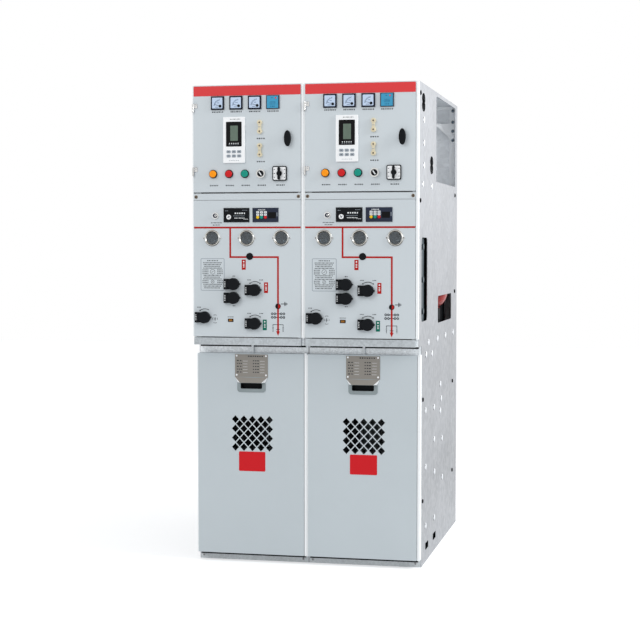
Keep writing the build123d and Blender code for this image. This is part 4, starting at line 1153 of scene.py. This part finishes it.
# Black caps in the bolt holes and black plugs in the earth slots: painted shade of those holes
SIDE_BOLT = ([(7.6, 0), (7.6, 3), (5, 3.8)], "recess", 20)
EARTH_SLOTS = ((221, 57.1), (415, 57.1))
EARTH_PLUG = (0, 0, 66, 24, 3, 0, 1.2, "recess", 0.4)
WIRE_HOLES = ((109.2, 1693.3), (313.8, 1476.6))
WIRE_RADIUS = 18
WIRE_SPACING = 25
EDGING_REACH = 33
EDGING_RISE = 20.5
EDGING_ARC = (-25, 205, 28)
POST_BOLTS = (1741, 1694, 1656, 1618)
POST_BOLT = (
    ("lathe", 0, 0, ((7.5, 0), (7.5, 0.8)), "steel", 20),
    ("lathe", 0, 0, ((5.5, 0.8), (5.5, 4), (4.6, 4.6)), "bolt_blue", 6),
)

REAR_INSET = 14
REAR_MARGIN = 40
REAR_SPACES = 5
REAR_SCREW = 5


def edging_points(hand):
    """Half of an edging round a pair of wire holes, stretched along the depth."""
    stretch = EDGING_REACH / EDGING_RISE
    outer = [(stretch * x, y) for x, y in arc_points(EDGING_RISE, *EDGING_ARC)]
    points = outer + arc_points(WIRE_RADIUS, *EDGING_ARC)[::-1]
    lifted = [(x, y + WIRE_SPACING / 2) for x, y in points]
    return lifted if hand > 0 else [(x, -y) for x, y in lifted[::-1]]


def wire_edging():
    """An edging, the bars at its pinch between two wire holes, and the membranes in them."""
    for hand in HANDS:
        yield "prism", edging_points(hand), 0, 1.6, "recess"
        yield "bar", 19 * hand, 0, 12, 14, 0, 1.5, "recess"
        yield "disc", 0, WIRE_SPACING / 2 * hand, WIRE_RADIUS - 0.2, -1.8, -1.2, "recess"


def side_details():
    """Round pressings with slits, edgings, and black bolt caps and slot plugs as painted shade, on the two
    outer sheets.
    """
    step_row = tuple((depth, step_level + STEP_RISE) for depth in STEP_PRESSINGS)
    for side in SIDES:
        sheet = box_mm(f"side_sheet_{side}_outer")
        plane = sheet[1].x if side == "right" else -sheet[0].x
        kit = Kit(f"side_fixings_{side}", "galvanised", plane, facing=side)
        for depth, up in PRESSINGS + step_row:
            kit.at(FRONT + depth, up).draw(PRESSING)
        for depth, up in WIRE_HOLES:
            kit.at(FRONT + depth, up).draw(wire_edging())
        for depth, up in SIDE_BOLTS:
            kit.at(FRONT + depth, up).lathe(0, 0, *SIDE_BOLT)
        for depth, up in EARTH_SLOTS:
            kit.at(FRONT + depth, up).rounded(*EARTH_PLUG)
        kit.build()


def post_bolts():
    """Bolt heads on the fronts of the rear posts, as seen in the side cut-outs."""
    posts = islands("rear_posts")
    kit = Kit("rear_post_bolts", "steel", -posts[0][0].y)
    for box in posts:
        for up in POST_BOLTS:
            kit.at(middle(box).x, up).draw(POST_BOLT)
    kit.build()


def rear_details():
    for index, (low, high) in enumerate(islands("rear_covers")):
        kit = Kit(f"rear_screws_{index}", "steel", high.y, facing="back")
        for edge in (low.x + REAR_INSET, high.x - REAR_INSET):
            for step in range(REAR_SPACES + 1):
                up = low.z + REAR_MARGIN + (high.z - low.z - 2 * REAR_MARGIN) * step / REAR_SPACES
                kit.at(-edge, up).screw(0, 0, REAR_SCREW)
        kit.build()


for side in SIDES:
    door_details(side)
    mechanism_details(side)
    cable_details(side)
base_details()
front_seals()
side_details()
post_bolts()
rear_details()


# Camera at the photograph's angle, lights and floor

CAMERA_PLACE = (1262.31, FRONT - 5456.56, 1174.96)
CAMERA_YAW = 12.425
CAMERA_DOWN = 2.755
CAMERA_RANGE = 100.0
FOCAL_PIXELS = 1543.42
FRAME_PIXELS = 640
SENSOR = 36.0

# Area lights, in metres and watts: place, target, size and power
LIGHTS = {
    "key": ((-3.2, -5.0, 4.2), (0.0, -0.3, 0.9), 3.0, 98.0),
    "fill": ((2.9, -0.6, 2.6), (0.42, 0.3, 1.65), 1.4, 90.0),
}
WHITE = (1.0, 1.0, 1.0, 1.0)
WORLD_LIGHT = 0.8
WORLD_SHOWN = 1.0
FLOOR_SHOWN = 0.45
FLOOR_HALF = 12.0
FLOOR_PAINT = (206, 208, 210)


def add_camera():
    data = bpy.data.cameras.new("camera")
    data.sensor_width = SENSOR
    data.lens = FOCAL_PIXELS / FRAME_PIXELS * SENSOR
    data.clip_end = CAMERA_RANGE
    camera = add_object("camera", data)
    camera.location = Vector(CAMERA_PLACE) * MM
    camera.rotation_euler = (math.radians(90 - CAMERA_DOWN), 0.0, math.radians(CAMERA_YAW))
    bpy.context.scene.camera = camera


def add_area(name, place, target, size, power):
    data = bpy.data.lights.new(name, "AREA")
    data.size = size
    data.energy = power
    lamp = add_object(name, data)
    lamp.location = place
    lamp.rotation_euler = (Vector(target) - Vector(place)).to_track_quat("-Z", "Y").to_euler()


def seen_directly(tree):
    """1 where the camera, a mirror or glass looks straight at the background."""
    path = tree.nodes.new("ShaderNodeLightPath")
    total = path.outputs["Is Camera Ray"]
    for ray in ("Is Glossy Ray", "Is Transmission Ray"):
        total = add_node(tree, "Math", {0: total, 1: path.outputs[ray]}, "Value", operation="MAXIMUM")
    return total


def light_scene():
    world = bpy.data.worlds.new("studio")
    bpy.context.scene.world = world
    world.use_nodes = True
    tree = world.node_tree
    strength = mapped(tree, seen_directly(tree), {"To Min": WORLD_LIGHT, "To Max": WORLD_SHOWN})
    feed(tree, tree.nodes["Background"], {"Color": WHITE, "Strength": strength})
    for name, settings in LIGHTS.items():
        add_area(name, *settings)


def add_floor():
    data = bpy.data.meshes.new("floor")
    corners = [(a * FLOOR_HALF, b * FLOOR_HALF, 0) for a, b in ((-1, -1), (1, -1), (1, 1), (-1, 1))]
    data.from_pydata(corners, [], [(0, 1, 2, 3)])
    material = finish("pale_floor", FLOOR_PAINT, 0.7, 0.005, 0.6, grain=40.0, depth=0.00002)
    tree = material.node_tree
    glow = mapped(tree, seen_directly(tree), {"To Max": FLOOR_SHOWN})
    data.materials.append(surfaced(material, {"Emission Color": WHITE, "Emission Strength": glow}))
    floor = add_object("floor", data)


add_camera()
light_scene()
add_floor()
bpy.context.scene.view_settings.view_transform = "Standard"
